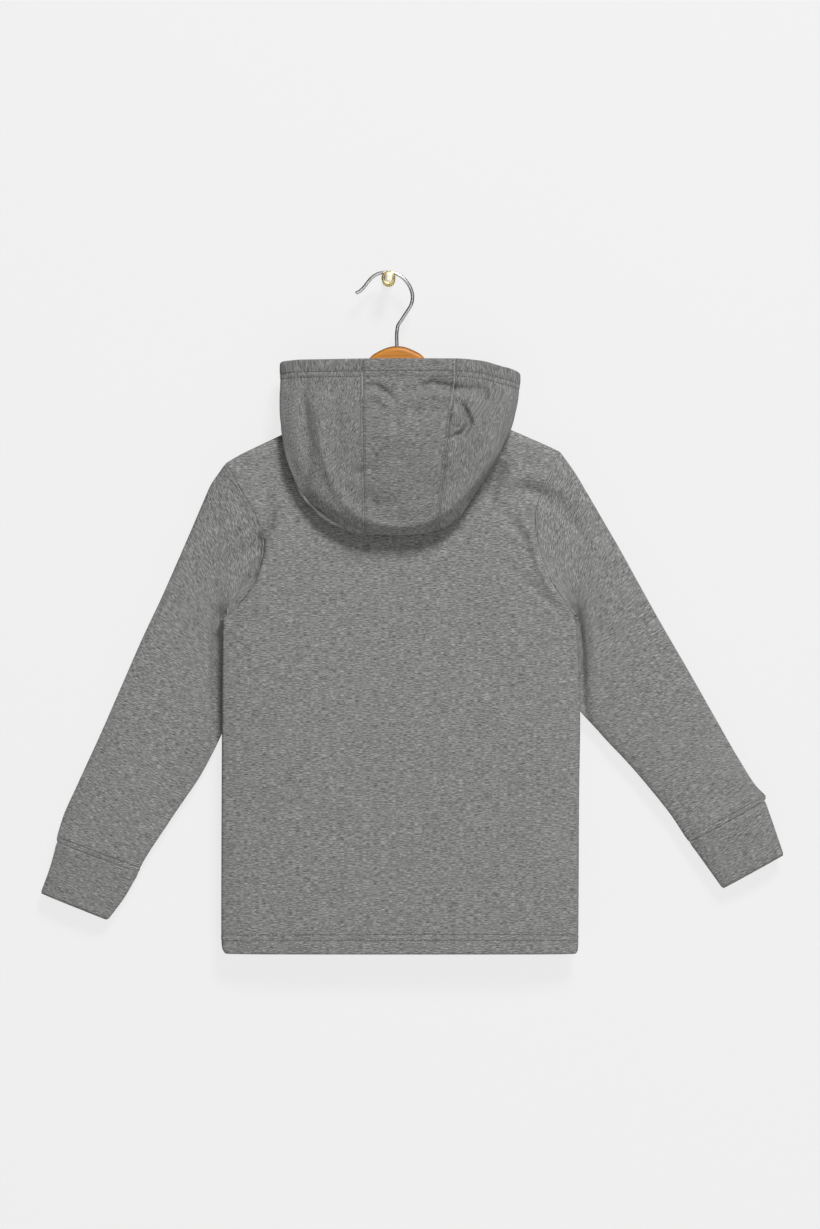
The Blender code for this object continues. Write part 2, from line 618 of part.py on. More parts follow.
def neck_edge(grids, around, layer):
    """A point of the body's neck edge, moved off it by the gap of a seam: layer 0 is its outer corner."""
    side = -1 if abs(around) <= 1.0 else 1
    station = around if side < 0 else math.copysign(2 - abs(around), around)
    edge = grids[side][layer][-1, len(SHOULDER_STATIONS) : -len(SHOULDER_STATIONS)]
    point = np.array([np.interp(station, NECK_STATIONS, edge[:, k]) for k in range(3)])
    if abs(around) == 1.0:
        point[1] = GARMENT_Y
    outward = outward_of(around)
    off = SEAM_GAP * 1.3
    return point + np.array([0.0, 0.0, off]) - outward * off * abs(outward[0])


def hood_profile(grids, around):
    """The hood's curve at a station, from the neck seam to the face edge."""
    station = Station(*hood_fields(around))
    seam, outward = neck_edge(grids, around, 0), outward_of(around)
    bottom = np.array([station.bottom_x, station.bottom_y, station.bottom_z])
    face = np.array([station.face_x, station.face_y, station.face_z])
    up = np.array([0.0, 0.0, 1.0])
    over = seam + up * station.stand + outward * FOLD_ROUND * station.fold
    falling = seam + up * (station.stand - 4.0) + outward * 2.0 * FOLD_ROUND * station.fold
    inside = bottom + up * POUCH_ROUND * 1.3 - outward * POUCH_ROUND * station.fold
    outside = bottom + up * POUCH_ROUND * 1.3 + outward * POUCH_ROUND * station.fold
    hem = face - up * HOOD_HEM * 0.9 + outward * 1.0
    folded = [
        seam,
        seam + up * station.stand * 0.55 + outward * 0.3,
        over,
        falling,
        falling + (inside - falling) * 0.5,
        inside,
        bottom,
        outside,
        outside + (hem - outside) * 0.25 + outward * station.belly * 0.8,
        outside + (hem - outside) * 0.55 + outward * station.belly,
        outside + (hem - outside) * 0.8 + outward * station.belly * 0.6,
        hem,
        face,
    ]
    shares = np.linspace(0.0, 1.0, len(folded))
    plain = [seam + (face - seam) * share for share in shares]
    weight = np.array([station.fold, station.fold, station.fold**2])
    return [p + weight * (f - p) for f, p in zip(folded, plain)]


HOOD_HEM_STARTS = 11  # the control point of a hood profile at which the face hem starts


def hood_places():
    """Places along a hood profile, counted in its control points."""
    seam_to_pouch = [0, 1, 1.5, 2, 2.5, 3, 4, 4.6, 5, 5.5, 6, 6.5, 7]
    pouch_to_face = [7.5, 8, 8.6, 9.3, 10, 10.95, 11, 11.5, 12]
    return seam_to_pouch + pouch_to_face


def hood_stations():
    """Stations of the left piece, the middle strip and the right piece."""
    front = [2 - s for s in reversed(HALF_NECK[1:-1])] + [2.0 - HALF_SEAM]
    beside = [s for s in HALF_NECK if s > HOOD_SEAM]
    right = [HOOD_SEAM + HALF_SEAM] + beside + front
    centre = [-HOOD_SEAM + HALF_SEAM, -0.19, 0.0, 0.19, HOOD_SEAM - HALF_SEAM]
    left = [-s for s in reversed(right)]
    return left, centre, right


def hood_pieces(names, grids, materials):
    """The hood's three pieces, cut from one surface so that their edges match."""
    parts = hood_stations()
    places = hood_places()
    columns = []
    for around in parts[0] + parts[1] + parts[2]:
        at, knots = through_points(hood_profile(grids, around))
        rows = []
        for place in places:
            k = min(int(place), len(knots) - 2)
            rows.append(at(knots[k] + (place - k) * (knots[k + 1] - knots[k])))
        columns.append(rows)
    outer = np.array(columns).transpose(1, 0, 2)
    thick = np.array([DOUBLED if place > HOOD_HEM_STARTS - 0.01 else CLOTH for place in places])
    inner = outer - normals_of(outer, False) * thick[:, None, None]
    inner[0] = [neck_edge(grids, around, 1) for around in parts[0] + parts[1] + parts[2]]
    start = 0
    for name, stations, material in zip(names, parts, materials):
        end = start + len(stations)
        wall(name, outer[:, start:end], inner[:, start:end], False, material)
        start = end


# ---- the hanger and the peg


def tilted(x, z):
    """A point of the hanger's own plane, turned by the tilt about the middle of the hump."""
    cos, sin = math.cos(HANGER_TILT), math.sin(HANGER_TILT)
    return HANGER_CENTRE_X + x * cos - z * sin, HUMP_CENTRE_Z + x * sin + z * cos


def wood_top(away):
    """Top of the wood at a distance from its middle, above the hump's centre."""
    arm = ARM_APEX_Z - HUMP_CENTRE_Z - math.tan(ARM_SLOPE) * away
    hump = math.sqrt(HUMP_RADIUS**2 - away**2) if away < HUMP_RADIUS else arm
    corner = HUMP_CORNER * math.exp(-(((away - HUMP_RADIUS + 3.0) / 7.0) ** 2))
    return max(arm, hump) + corner


def wood_bottom(away):
    """Bottom of the wood at a distance from its middle, above the hump's centre."""
    arm = ARM_APEX_Z - HUMP_CENTRE_Z - math.tan(ARM_SLOPE) * away
    share = away / ARM_REACH
    return arm - ARM_HEIGHT + (ARM_HEIGHT - ARM_END_HEIGHT) * share**2


def wood_section(x, end_share):
    """A ring of the wood: a rounded upright oblong, made smaller by end_share at the arm's end."""
    away = abs(x)
    top, bottom = wood_top(away), wood_bottom(away)
    middle, half_height = (top + bottom) / 2, (top - bottom) / 2 * end_share
    half_thick = WOOD_THICK / 2 * (0.45 + 0.55 * end_share)
    round_by = min(WOOD_ROUND, half_thick - 0.4, half_height - 0.3)
    ring = []
    for corner in range(4):
        for step in range(4):
            turn = math.pi / 2 * (corner + step / 3)
            cos, sin = math.cos(turn), math.sin(turn)
            y = math.copysign(half_thick - round_by, [1, -1, -1, 1][corner]) + round_by * cos
            z = middle + math.copysign(half_height - round_by, [1, 1, -1, -1][corner]) + round_by * sin
            ring.append((y, z))
    points = []
    for y, z in ring:
        world_x, world_z = tilted(x, z)
        points.append((world_x, GARMENT_Y + y, world_z))
    return points


def hanger_wood(material):
    """The wooden body, lofted from end to end, with a hole for the wire."""
    inner_places = [0.0, 4.0, 8.0, 12.0, 16.0, 19.0, 22.0, 25.0, 28.0, 31.0, 35.0, 40.0, 50.0, 65.0, 85.0, 105.0, 120.0]
    sections = [(place, 1.0) for place in inner_places]
    end_round = ARM_END_HEIGHT / 2
    for degrees in (0, 25, 45, 62, 76, 88):
        turn = math.radians(degrees)
        sections.append((ARM_REACH - end_round * (1 - math.sin(turn)), math.cos(turn)))
    sections = [(-place, share) for place, share in reversed(sections[1:])] + sections
    rings = [wood_section(place, max(share, 0.16)) for place, share in sections]
    count = len(rings[0])
    points = [tuple(np.array(p) * MM) for ring in rings for p in ring]
    faces = []
    for r in range(len(rings) - 1):
        for c in range(count):
            a, b = r * count + c, r * count + (c + 1) % count
            faces.append((a, b, b + count, a + count))
    faces.append(tuple(reversed(range(count))))
    faces.append(tuple(range((len(rings) - 1) * count, len(rings) * count)))
    mesh = bpy.data.meshes.new("hanger_wood")
    mesh.from_pydata(points, [], faces)
    mesh.materials.append(material)
    mesh.shade_smooth()
    mesh.set_sharp_from_angle(angle=math.radians(40))
    made = bpy.data.objects.new("hanger_wood", mesh)
    bpy.context.scene.collection.objects.link(made)
    drill_wire_hole(made)
    return made


def drill_wire_hole(wood):
    """Cuts the hole that the wire's lower end stands in."""
    foot = HOOK_COURSE[-1]
    top = HUMP_CENTRE_Z + HUMP_RADIUS + 5.0
    bottom = foot.z - WIRE_CLEARANCE
    bpy.ops.mesh.primitive_cylinder_add(
        vertices=16,
        radius=(WIRE_RADIUS + WIRE_CLEARANCE) * MM,
        depth=(top - bottom) * MM,
        location=(foot.x * MM, GARMENT_Y * MM, (top + bottom) / 2 * MM),
    )
    drill = bpy.context.active_object
    drill.name = "wire_hole_cutter"
    drill.hide_render = True
    drill.display_type = "WIRE"
    cut = wood.modifiers.new("wire hole", "BOOLEAN")
    cut.operation = "DIFFERENCE"
    cut.object = drill


def hanger_hook(material):
    """The wire hook, a round bar along a smooth course."""
    at, _ = through_points([(p.x, GARMENT_Y, p.z) for p in HOOK_COURSE])
    course = [at(place) for place in np.linspace(0.0, 1.0, 49)]
    curve = bpy.data.curves.new("hanger_hook", "CURVE")
    curve.dimensions = "3D"
    curve.bevel_depth = WIRE_RADIUS * MM
    curve.bevel_resolution = 3
    curve.use_fill_caps = True
    line = curve.splines.new("POLY")
    line.points.add(len(course) - 1)
    for point, place in zip(line.points, course):
        point.co = (*(place * MM), 1.0)
    curve.materials.append(material)
    made = bpy.data.objects.new("hanger_hook", curve)
    bpy.context.scene.collection.objects.link(made)
    return made


def wall_peg(material):
    """The peg: a flange on the wall, a shaft that the hook hangs on, and a domed head."""
    head_end = PEG_HEAD_START + PEG_HEAD_THICK
    profile = [
        (0.0, 0.0),
        (PEG_FLANGE_RADIUS, 0.0),
        (PEG_FLANGE_RADIUS, PEG_FLANGE_THICK * 0.6),
        (PEG_FLANGE_RADIUS - 1.0, PEG_FLANGE_THICK),
        (PEG_SHAFT_RADIUS + 0.8, PEG_FLANGE_THICK + 0.3),
        (PEG_SHAFT_RADIUS, PEG_FLANGE_THICK + 1.3),
        (PEG_SHAFT_RADIUS, PEG_HEAD_START - 1.0),
        (PEG_SHAFT_RADIUS + 0.8, PEG_HEAD_START - 0.2),
        (PEG_HEAD_RADIUS - 0.8, PEG_HEAD_START),
        (PEG_HEAD_RADIUS, PEG_HEAD_START + 1.0),
        (PEG_HEAD_RADIUS, PEG_HEAD_START + 3.0),
        (PEG_HEAD_RADIUS - 0.8, PEG_HEAD_START + 4.2),
        (PEG_HEAD_RADIUS - 2.0, head_end - 1.6),
        (PEG_HEAD_RADIUS - 3.8, head_end - 0.5),
        (0.0, head_end),
    ]
    sides = 24
    points, faces = [], []
    rings = []
    for radius, depth in profile:
        if radius == 0.0:
            rings.append([len(points)])
            points.append((0.0, -depth * MM, 0.0))
            continue
        ring = []
        for k in range(sides):
            turn = 2 * math.pi * k / sides
            ring.append(len(points))
            points.append((radius * math.cos(turn) * MM, -depth * MM, radius * math.sin(turn) * MM))
        rings.append(ring)
    for before, after in zip(rings[:-1], rings[1:]):
        for k in range(sides):
            corners = [before[k % len(before)], before[(k + 1) % len(before)]]
            corners += [after[(k + 1) % len(after)], after[k % len(after)]]
            faces.append(tuple(dict.fromkeys(corners)))
    mesh = bpy.data.meshes.new("wall_peg")
    mesh.from_pydata(points, [], faces)
    mesh.materials.append(material)
    mesh.shade_smooth()
    mesh.set_sharp_from_angle(angle=math.radians(40))
    made = bpy.data.objects.new("wall_peg", mesh)
    bpy.context.scene.collection.objects.link(made)
    return made


def build():
    for old in list(bpy.data.objects):
        bpy.data.objects.remove(old, do_unlink=True)
    grids = {side: body_grids(side) for side in (-1, 1)}
    body_panel("back_panel", -1, grids, jersey("back jersey"))
    body_panel("front_panel", 1, grids, jersey("front jersey"))
    sleeve("sleeve_left", LEFT_SLEEVE, True, grids, jersey("left sleeve jersey"))
    sleeve("sleeve_right", RIGHT_SLEEVE, False, grids, jersey("right sleeve jersey"))
    cuff("cuff_left", LEFT_CUFF, True, jersey("left cuff jersey"))
    cuff("cuff_right", RIGHT_CUFF, False, jersey("right cuff jersey"))
    hood_names = ("hood_left", "hood_centre", "hood_right")
    hood_pieces(hood_names, grids, [jersey(name + " jersey") for name in hood_names])
    hanger_wood(make_material("varnished wood", (0.56, 0.27, 0.09), 0.35))
    hanger_hook(make_material("chromed wire", (0.62, 0.62, 0.62), 0.2, 1.0))
    wall_peg(make_material("brass", (0.72, 0.53, 0.25), 0.25, 1.0))


build()
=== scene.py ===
"""Looks of a child's hooded jersey top on a wooden hanger, seen from its back.

The shapes repeat the part's own outlines, rings and sections at a finer spacing, and add creases, seams,
stitches and marl. Lengths are in millimetres, and MM turns them into Blender's metres. Left and right are as
seen from -Y.
"""

import math
from collections import namedtuple

import bpy
import numpy as np
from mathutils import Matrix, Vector, noise


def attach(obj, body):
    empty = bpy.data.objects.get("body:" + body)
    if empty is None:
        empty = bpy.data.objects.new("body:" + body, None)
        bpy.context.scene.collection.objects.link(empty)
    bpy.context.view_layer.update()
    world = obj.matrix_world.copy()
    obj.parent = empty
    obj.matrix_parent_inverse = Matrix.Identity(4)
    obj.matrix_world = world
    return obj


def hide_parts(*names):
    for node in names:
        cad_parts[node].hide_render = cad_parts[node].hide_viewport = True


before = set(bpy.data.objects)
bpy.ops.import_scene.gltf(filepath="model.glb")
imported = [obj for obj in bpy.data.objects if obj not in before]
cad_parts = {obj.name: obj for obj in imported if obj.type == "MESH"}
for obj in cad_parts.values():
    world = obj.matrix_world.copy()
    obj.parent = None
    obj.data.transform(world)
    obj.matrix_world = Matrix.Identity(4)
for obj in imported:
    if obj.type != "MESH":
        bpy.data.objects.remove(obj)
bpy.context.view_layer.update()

MM = 0.001

# The cloth
CLOTH = 1.2  # jersey
DOUBLED = 2.4  # jersey turned in at a hem, or cut double at a cuff
SEAM_GAP = 0.3  # between two pieces that are sewn together
GARMENT_Y = -18  # the plane of the shoulder seams and side seams

# The body
HEM_Z = -607.9
HEM_DEEP = 18
BODY_HALF_DEPTH = 10
SIDE_ROUND = 3.2
SIDE_REACH = 28  # how far in from a side the body goes on swelling
SHOULDER_ROUND = 9
SHOULDER_REACH = 20
CREASE_DEPTH = 6  # where the body is less deep than this, creases fade
NECK_CENTRE_X = 10.4
NECK_HALF_WIDTH = 80
BACK_NECK_DROP = 12
FRONT_NECK_DROP = 46
NECK_POWER = 2.2  # how square the neckline's curve is
TURN_POWER = 4  # how tightly the body turns from its side to its shoulder

# The hanger
HANGER_CENTRE_X = 7.65
HUMP_CENTRE_Z = -89.6
HUMP_RADIUS = 29
HUMP_CORNER = 3
HUMP_CORNER_WIDTH = 7
HANGER_TILT = math.radians(0.9)
ARM_SLOPE = math.radians(24.5)
ARM_APEX_Z = -93.1
ARM_REACH = 138
ARM_HEIGHT = 24
ARM_END_HEIGHT = 17
WOOD_THICK = 11
WOOD_ROUND = 5.1

# The hook and the peg
WIRE_RADIUS = 1.6
WIRE_SIDES = 24
WIRE_END = 0.006  # share of the hook over which its end is rounded
PEG_SIDES = 72
# The peg's radii at its distances from the wall: flange, shaft for the hook, and head with a raised rim
PEG_PROFILE = [
    (0.2, 0), (5.7, 0), (6, 0.3), (6, 1.5), (5.7, 2.125), (5, 2.5),
    (4.4, 2.8), (3.8, 3.2), (3.6, 3.8), (3.6, 20.5), (4.4, 21.3),
    (5.5, 21.5), (6.05, 21.8), (6.3, 22.5), (6.3, 26), (6.1, 26.8), (5.6, 27.4), (5, 27.65),
    (4.6, 27.55), (4.35, 27.45), (4.1, 27.75), (3.5, 27.92), (0.2, 28),
]

# The cloth on the hanger's arms
SHOULDER_RISE = 2
SHOULDER_DROOP = 0.005
DROOP_STARTS = 3  # before the arms' ends
LEFT_TIP_X = -146.3
RIGHT_TIP_X = 154.2

# Seams and stitches
SEAM_SINK = 0.7  # how far the cloth dips at a seam
SEAM_DIP_WIDTH = 1.6
SEAM_SWELL = 0.45  # how far the seam allowance lifts the cloth beside it
SEAM_SWELL_AWAY = 5
SEAM_SWELL_WIDTH = 2.2
EDGE_SOFT = 0.7  # over how much of a cut edge the cloth is rounded
STITCH_LENGTH = 2.5
STITCH_GAP = 0.75
THREAD_RADIUS = 0.28
THREAD_SIDES = 6
STITCH_SINK = 0.4  # how far a row of stitches pulls the cloth in
STITCH_SINK_WIDTH = 1.3
HEM_ROWS = (13.2, 18.4)  # rows of the hem's coverstitch, from the hem's edge
HOOD_HEM_ROWS = (11.2, 16.2)
FELL_ROW = 1.9  # row of stitches beside a hood seam, from the seam
FELL_SINK = 0.3  # how far the cloth dips at a hood seam
FELL_DIP_WIDTH = 0.9
ARMHOLE_CLEAR_Z = -205  # above this the armhole seams lie flat and hardly show
ARMHOLE_FADE = 20  # below that height they come to show over this much
LEFT_TOP_SEAM = 0.55  # how much of an armhole seam's dip is left there
RIGHT_TOP_SEAM = 0.12
CUFF_SEAM = 0.4  # how much of a seam's dip a cuff's has
CUFF_ROW = 4.6  # row of stitches above a cuff
EDGE_SINK = 0.8  # how far a cut edge's rounding sinks in
EDGE_THIN = 0.6  # how much of its thickness the cloth loses there
HEM_STEP = 0.35  # how far a doubled hem stands out
HEM_STEP_WIDTH = 1.2
# A stitch's course: share of its length, and rise in radii.
STITCH_SHAPE = ((0, -0.7), (0.12, 0.35), (0.5, 0.75), (0.88, 0.35), (1, -0.7))

# Small unevenness of the cloth: size and height of each layer of it
BODY_UNEVEN = ((42, 0.8), (17, 0.35))
SLEEVE_UNEVEN = ((34, 0.7), (15, 0.35))
CUFF_UNEVEN = ((26, 0.9),)
HOOD_UNEVEN = ((30, 1.1), (13, 0.5))
BODY_CALM = 12  # over this much from its seams a cloth's unevenness grows
HOOD_CALM = 25

CLOTH_MAP = "cut_cloth"  # places on the cut cloth in millimetres; the marl's flecks run along its first axis
PIECE_APART = 1000  # between two pieces on that map
FAR = 1e9


def shoulder_z(x):
    """Height of the cloth on the hanger's arms."""
    away = np.asarray(x, float) - HANGER_CENTRE_X
    slope = np.where(away < 0, math.tan(ARM_SLOPE + HANGER_TILT), math.tan(ARM_SLOPE - HANGER_TILT))
    droop = SHOULDER_DROOP * np.maximum(0, np.abs(away) - ARM_REACH + DROOP_STARTS) ** 2
    return ARM_APEX_Z + SHOULDER_RISE - slope * np.abs(away) - droop


LEFT_TIP_Z = float(shoulder_z(LEFT_TIP_X))
RIGHT_TIP_Z = float(shoulder_z(RIGHT_TIP_X))


# Soft ridges (height above 0) and troughs (below 0) along a course of (x, z) points.
Crease = namedtuple("Crease", "course width height")


def crease_table(*rows):
    """Creases from rows: width, height, then x and z of each point of the course."""
    return [Crease(np.reshape(row[2:], (-1, 2)).astype(float), *row[:2]) for row in rows]


# z and x of the body's edges, from the hem to the underarm and on to the shoulder's tip
LEFT_SIDE = [
    (-607.9, -146.4), (-603, -149.4), (-590, -150.6), (-460, -150.3), (-307.3, -149.4),
]
LEFT_ARMHOLE = [
    (-307.3, -149.4), (-294, -136), (-277.6, -123.4), (-252.2, -114.1), (-237, -112), (-219.1, -117),
    (-187.6, -134), (LEFT_TIP_Z, LEFT_TIP_X),
]
RIGHT_SIDE = [
    (-607.9, 168.2), (-604, 170.2), (-590, 170.9), (-460, 171.7), (-400, 172.6), (-338, 171), (-305.5, 168.6),
]
RIGHT_ARMHOLE = [
    (-305.5, 168.6), (-291.1, 158), (-273.7, 146.3), (-254.2, 138.5), (-236.6, 133.7), (-217.1, 131.5),
    (-189.7, 138.3), (RIGHT_TIP_Z, RIGHT_TIP_X),
]

# Rings of the sleeves, from the armhole to the cuff seam, and of the cuffs: x and z of the top fold and of
# the underarm fold. The depths are the y of both folds, half the ring's depth and how far it follows the
# armhole's bow.
SLEEVE_DEPTHS = [
    (-18, -18, 7, 1), (-17.2, -17, 6.8, 0.86), (-16.2, -15.8, 6.5, 0.64), (-15.2, -14.4, 6.2, 0.4),
    (-14.2, -13, 5.9, 0.2), (-13.2, -11.6, 5.7, 0.08), (-12.4, -10.3, 5.6, 0.02), (-11.8, -9.5, 5.6, 0),
    (-11.2, -9.3, 5.7, 0), (-10.8, -9.5, 5.8, 0), (-10.6, -10, 5.8, 0), (-10.5, -10.4, 5.8, 0),
    (-10.5, -10.5, 5.8, 0), (-10.5, -10.5, 5.7, 0),
]
CUFF_DEPTHS = [
    (-10.5, -10.5, 5.7, 0), (-10.5, -10.5, 5.6, 0), (-10.5, -10.5, 5.6, 0),
]
LEFT_SLEEVE = [
    (LEFT_TIP_X, LEFT_TIP_Z, -149.4, -307.3), (-152.6, -174.5, -151.2, -309.3),
    (-159.8, -184.9, -152.6, -312.2), (-167.9, -202.9, -152.9, -316.4),
    (-178.7, -228.1, -152.5, -322), (-191.3, -256.9, -151.4, -330.5),
    (-205.7, -289.3, -149.2, -343.5), (-221.9, -323.5, -147.2, -364), (-240.8, -366.7, -149, -394),
    (-259.7, -409.9, -168, -442.5), (-279.5, -453.1, -196.3, -487), (-293.9, -485.5, -215.8, -516.4),
    (-299.3, -504.6, -222.8, -528.4), (-299.2, -507.1, -225.3, -534.9),
]
RIGHT_SLEEVE = [
    (RIGHT_TIP_X, RIGHT_TIP_Z, 168.6, -305.5), (160.7, -164.2, 170.4, -307.3), (168.8, -175.9, 172, -310),
    (179.6, -193.9, 172.7, -314), (192.2, -215.5, 172.8, -319.5), (207.5, -241.6, 172.2, -327.5),
    (226.4, -275.8, 170.8, -339.5), (247.1, -312.7, 169.4, -356), (269.6, -351.4, 170.8, -379),
    (292.1, -391, 192.6, -410), (313.7, -428.8, 225, -446.5), (330.7, -455.8, 255.3, -484),
    (340.3, -466.6, 268.7, -504.4), (339.6, -470.1, 271.4, -507.6),
]
LEFT_CUFF = [
    (-299.1, -507.4, -225.4, -535.2), (-305.5, -530.5, -238.5, -558), (-313.9, -553.6, -253.4, -578),
]
RIGHT_CUFF = [
    (339.7, -470.4, 271.5, -507.9), (348, -494, 286, -528), (356.6, -519.2, 301.4, -549.6),
]

# The hood's stations run round the neck: 0 is the middle of the back, 1 and -1 are the shoulders, 2 and -2
# meet at the middle of the front. fold is 1 where the cloth falls over outwards, 0 where it only stands up.
Station = namedtuple("Station", "around stand fold bottom_x bottom_y bottom_z face_x face_y face_z belly")
HOOD = np.array([
    (-2, 2, 0, 9.6, -9, -172, 9.6, -8, -169, 0), (-1.6, 5, 0, -30, -8.5, -160, -46, -7, -139, 0),
    (-1.14, 5, 0, -74, -9, -120, -90, -9.5, -93, 0), (-1.06, 5, 0.03, -84, -13, -126, -96.5, -13.5, -81, 1),
    (-1, 6, 0.45, -90, -19, -134.5, -98.2, -20.5, -76.4, 1),
    (-0.97, 7, 0.85, -90.5, -30.5, -137.5, -97.5, -25, -75.5, 1.5),
    (-0.93, 8, 1, -89.5, -34.5, -152, -94.5, -29, -74.8, 3),
    (-0.88, 9.5, 1, -84.5, -36.5, -180, -88.5, -31.5, -74.2, 4.5),
    (-0.8, 12, 1, -73, -37.5, -203, -79, -35, -73.6, 6),
    (-0.6, 15, 1, -45, -39, -223.5, -51, -39, -73.3, 7.5),
    (-0.38, 17, 1, -21, -39.5, -230.5, -23.2, -41, -73, 8.2),
    (0, 18, 1, 11, -39.5, -231.2, 17.6, -41.5, -72.8, 8.8),
    (0.38, 17, 1, 44, -39.5, -226.5, 59.5, -41, -72.8, 8.2),
    (0.6, 15, 1, 63, -39, -216, 84, -38.5, -75, 7.5),
    (0.8, 12, 1, 82, -37.5, -188, 102, -34, -79.5, 6),
    (0.88, 9.5, 1, 93, -36.5, -170, 110.5, -30.5, -81.5, 4.5),
    (0.93, 8, 1, 101.5, -34.5, -152, 115.3, -28, -83.5, 3),
    (0.97, 7, 0.8, 107.5, -30.5, -140, 118.5, -24.5, -85.5, 1.5),
    (1, 6, 0.4, 107, -19, -133.5, 119, -20, -87, 1),
    (1.06, 5, 0.03, 101, -13, -128, 116.5, -13.5, -88, 1), (1.14, 5, 0, 90, -9, -122, 109, -9.5, -98, 0),
    (1.6, 5, 0, 52, -8.5, -160, 66, -7, -141, 0), (2, 2, 0, 11.2, -9, -172, 11.2, -8, -169, 0),
])
HOOD_SEAM = 0.38  # the station of the seams beside the middle strip
HALF_SEAM = 0.0006  # half the gap at a seam, in stations
HOOD_HEM = 16
FOLD_ROUND = 2.6
POUCH_ROUND = 5
HOOD_HANGS = (5.6, 7)  # its creases fade in between these points of a profile
HOOD_SEWN = (("right",), ("left", "right"), ("left",))  # sewn edges of its left, middle and right piece

# x and z of the hook, from its open end to the wood
HOOK_COURSE = [
    (-29.7, -12.9), (-26.6, -11.6), (-23.4, -9), (-18.9, -3.4), (-13.9, 2), (-9.4, 4.5), (0, 5.7), (6, 4.8),
    (10.9, 2.4), (15.9, -2.1), (19.8, -8.4), (21.6, -15.5), (20.4, -23.2), (16.4, -29.9), (11.6, -37.3),
    (8.5, -42.2), (7.6, -47), (7.5, -60), (7.5, -73),
]

BACK_CREASES = crease_table(
    # beside the hood, and from it to the armholes
    (6, -9, 103, -161, 98, -174, 93, -188, 89, -206), (5, 1.6, 111, -160, 112, -178, 104, -198),
    (5.5, -4.6, 108, -189, 122, -190, 136, -194, 152, -199), (5.5, 1.6, 112, -174, 130, -176, 148, -183),
    (4.2, -1.8, 98, -204, 112, -220, 123, -236, 128, -252),
    (3.6, 2.2, 118, -214, 128, -232, 134, -258, 149, -288),
    (4, -1.5, 102, -250, 122, -271, 141, -288, 157, -303), (4, -1.6, 162, -312, 161, -340, 158, -380),
    (3, -5.5, -103, -209, -107.5, -226, -114.5, -244),
    (3.9, -6.5, -113, -224, -115, -249, -122.5, -272, -136, -292, -149, -304),
    (5, -1.2, -107, -166, -113, -198, -112, -222), (5, 1.1, -98, -172, -101, -196, -96, -216),
    (5, 1, -112, -268, -122, -290, -138, -309),
    # down the back
    (30, 0.9, -90, -330, -60, -600), (32, -1, 85, -300, 105, -600), (26, 0.8, -20, -290, 10, -360, 2, -450),
)
FRONT_CREASES = crease_table(
    (8, 2, 95, -200, 104, -222, 114, -248), (9, 1.8, -70, -180, -84, -204, -105, -234),
    (4.5, -1.5, -98, -262, -118, -284, -140, -306), (5, -1.4, 118, -268, 138, -286, 158, -304),
    (28, -1.1, -64, -300, -58, -420, -85, -600), (30, 1, 60, -320, 68, -460, 75, -600),
)
# The first two of each sleeve's are the swell and the valley where it lies against the body's side.
LEFT_SLEEVE_CREASES = crease_table(
    (3.6, 1.5, -165, -290, -164.5, -330, -162.5, -390, -160, -430),
    (5.6, -8.5, -154, -282, -154.2, -330, -152.2, -390, -150.5, -440),
    (5, -5.5, -115, -224, -117, -249, -125, -273, -138, -293, -151, -304),
    (4.5, -1.1, -143, -180, -132, -204, -122, -226), (7, 1, -150, -196, -141, -222, -143, -250),
    (7, -0.9, -236, -470, -252, -490, -276, -502), (6, 0.9, -214, -470, -236, -505, -262, -520),
)
RIGHT_SLEEVE_CREASES = crease_table(
    (5, 1.5, 185, -290, 186, -330, 185, -370, 184, -410),
    (5.6, -9, 168.5, -286, 170.5, -330, 171.5, -370, 172.5, -412),
    (5.5, -1.8, 136, -193, 150, -198.5, 162, -209, 170, -224), (6, 1.2, 150, -180, 166, -190, 178, -208),
    (6, -0.9, 262, -478, 284, -472, 312, -456), (7, 0.9, 270, -460, 292, -450, 318, -436),
)
LEFT_SLEEVE_FRONT = crease_table(
    (5, -1.8, -124, -226, -128, -262, -146, -296), (8, -1.1, -222, -400, -238, -440, -262, -468),
)
RIGHT_SLEEVE_FRONT = crease_table(
    (5, -1.6, 142, -214, 146, -252, 162, -290), (8, 1.1, 236, -380, 262, -410, 284, -446),
)
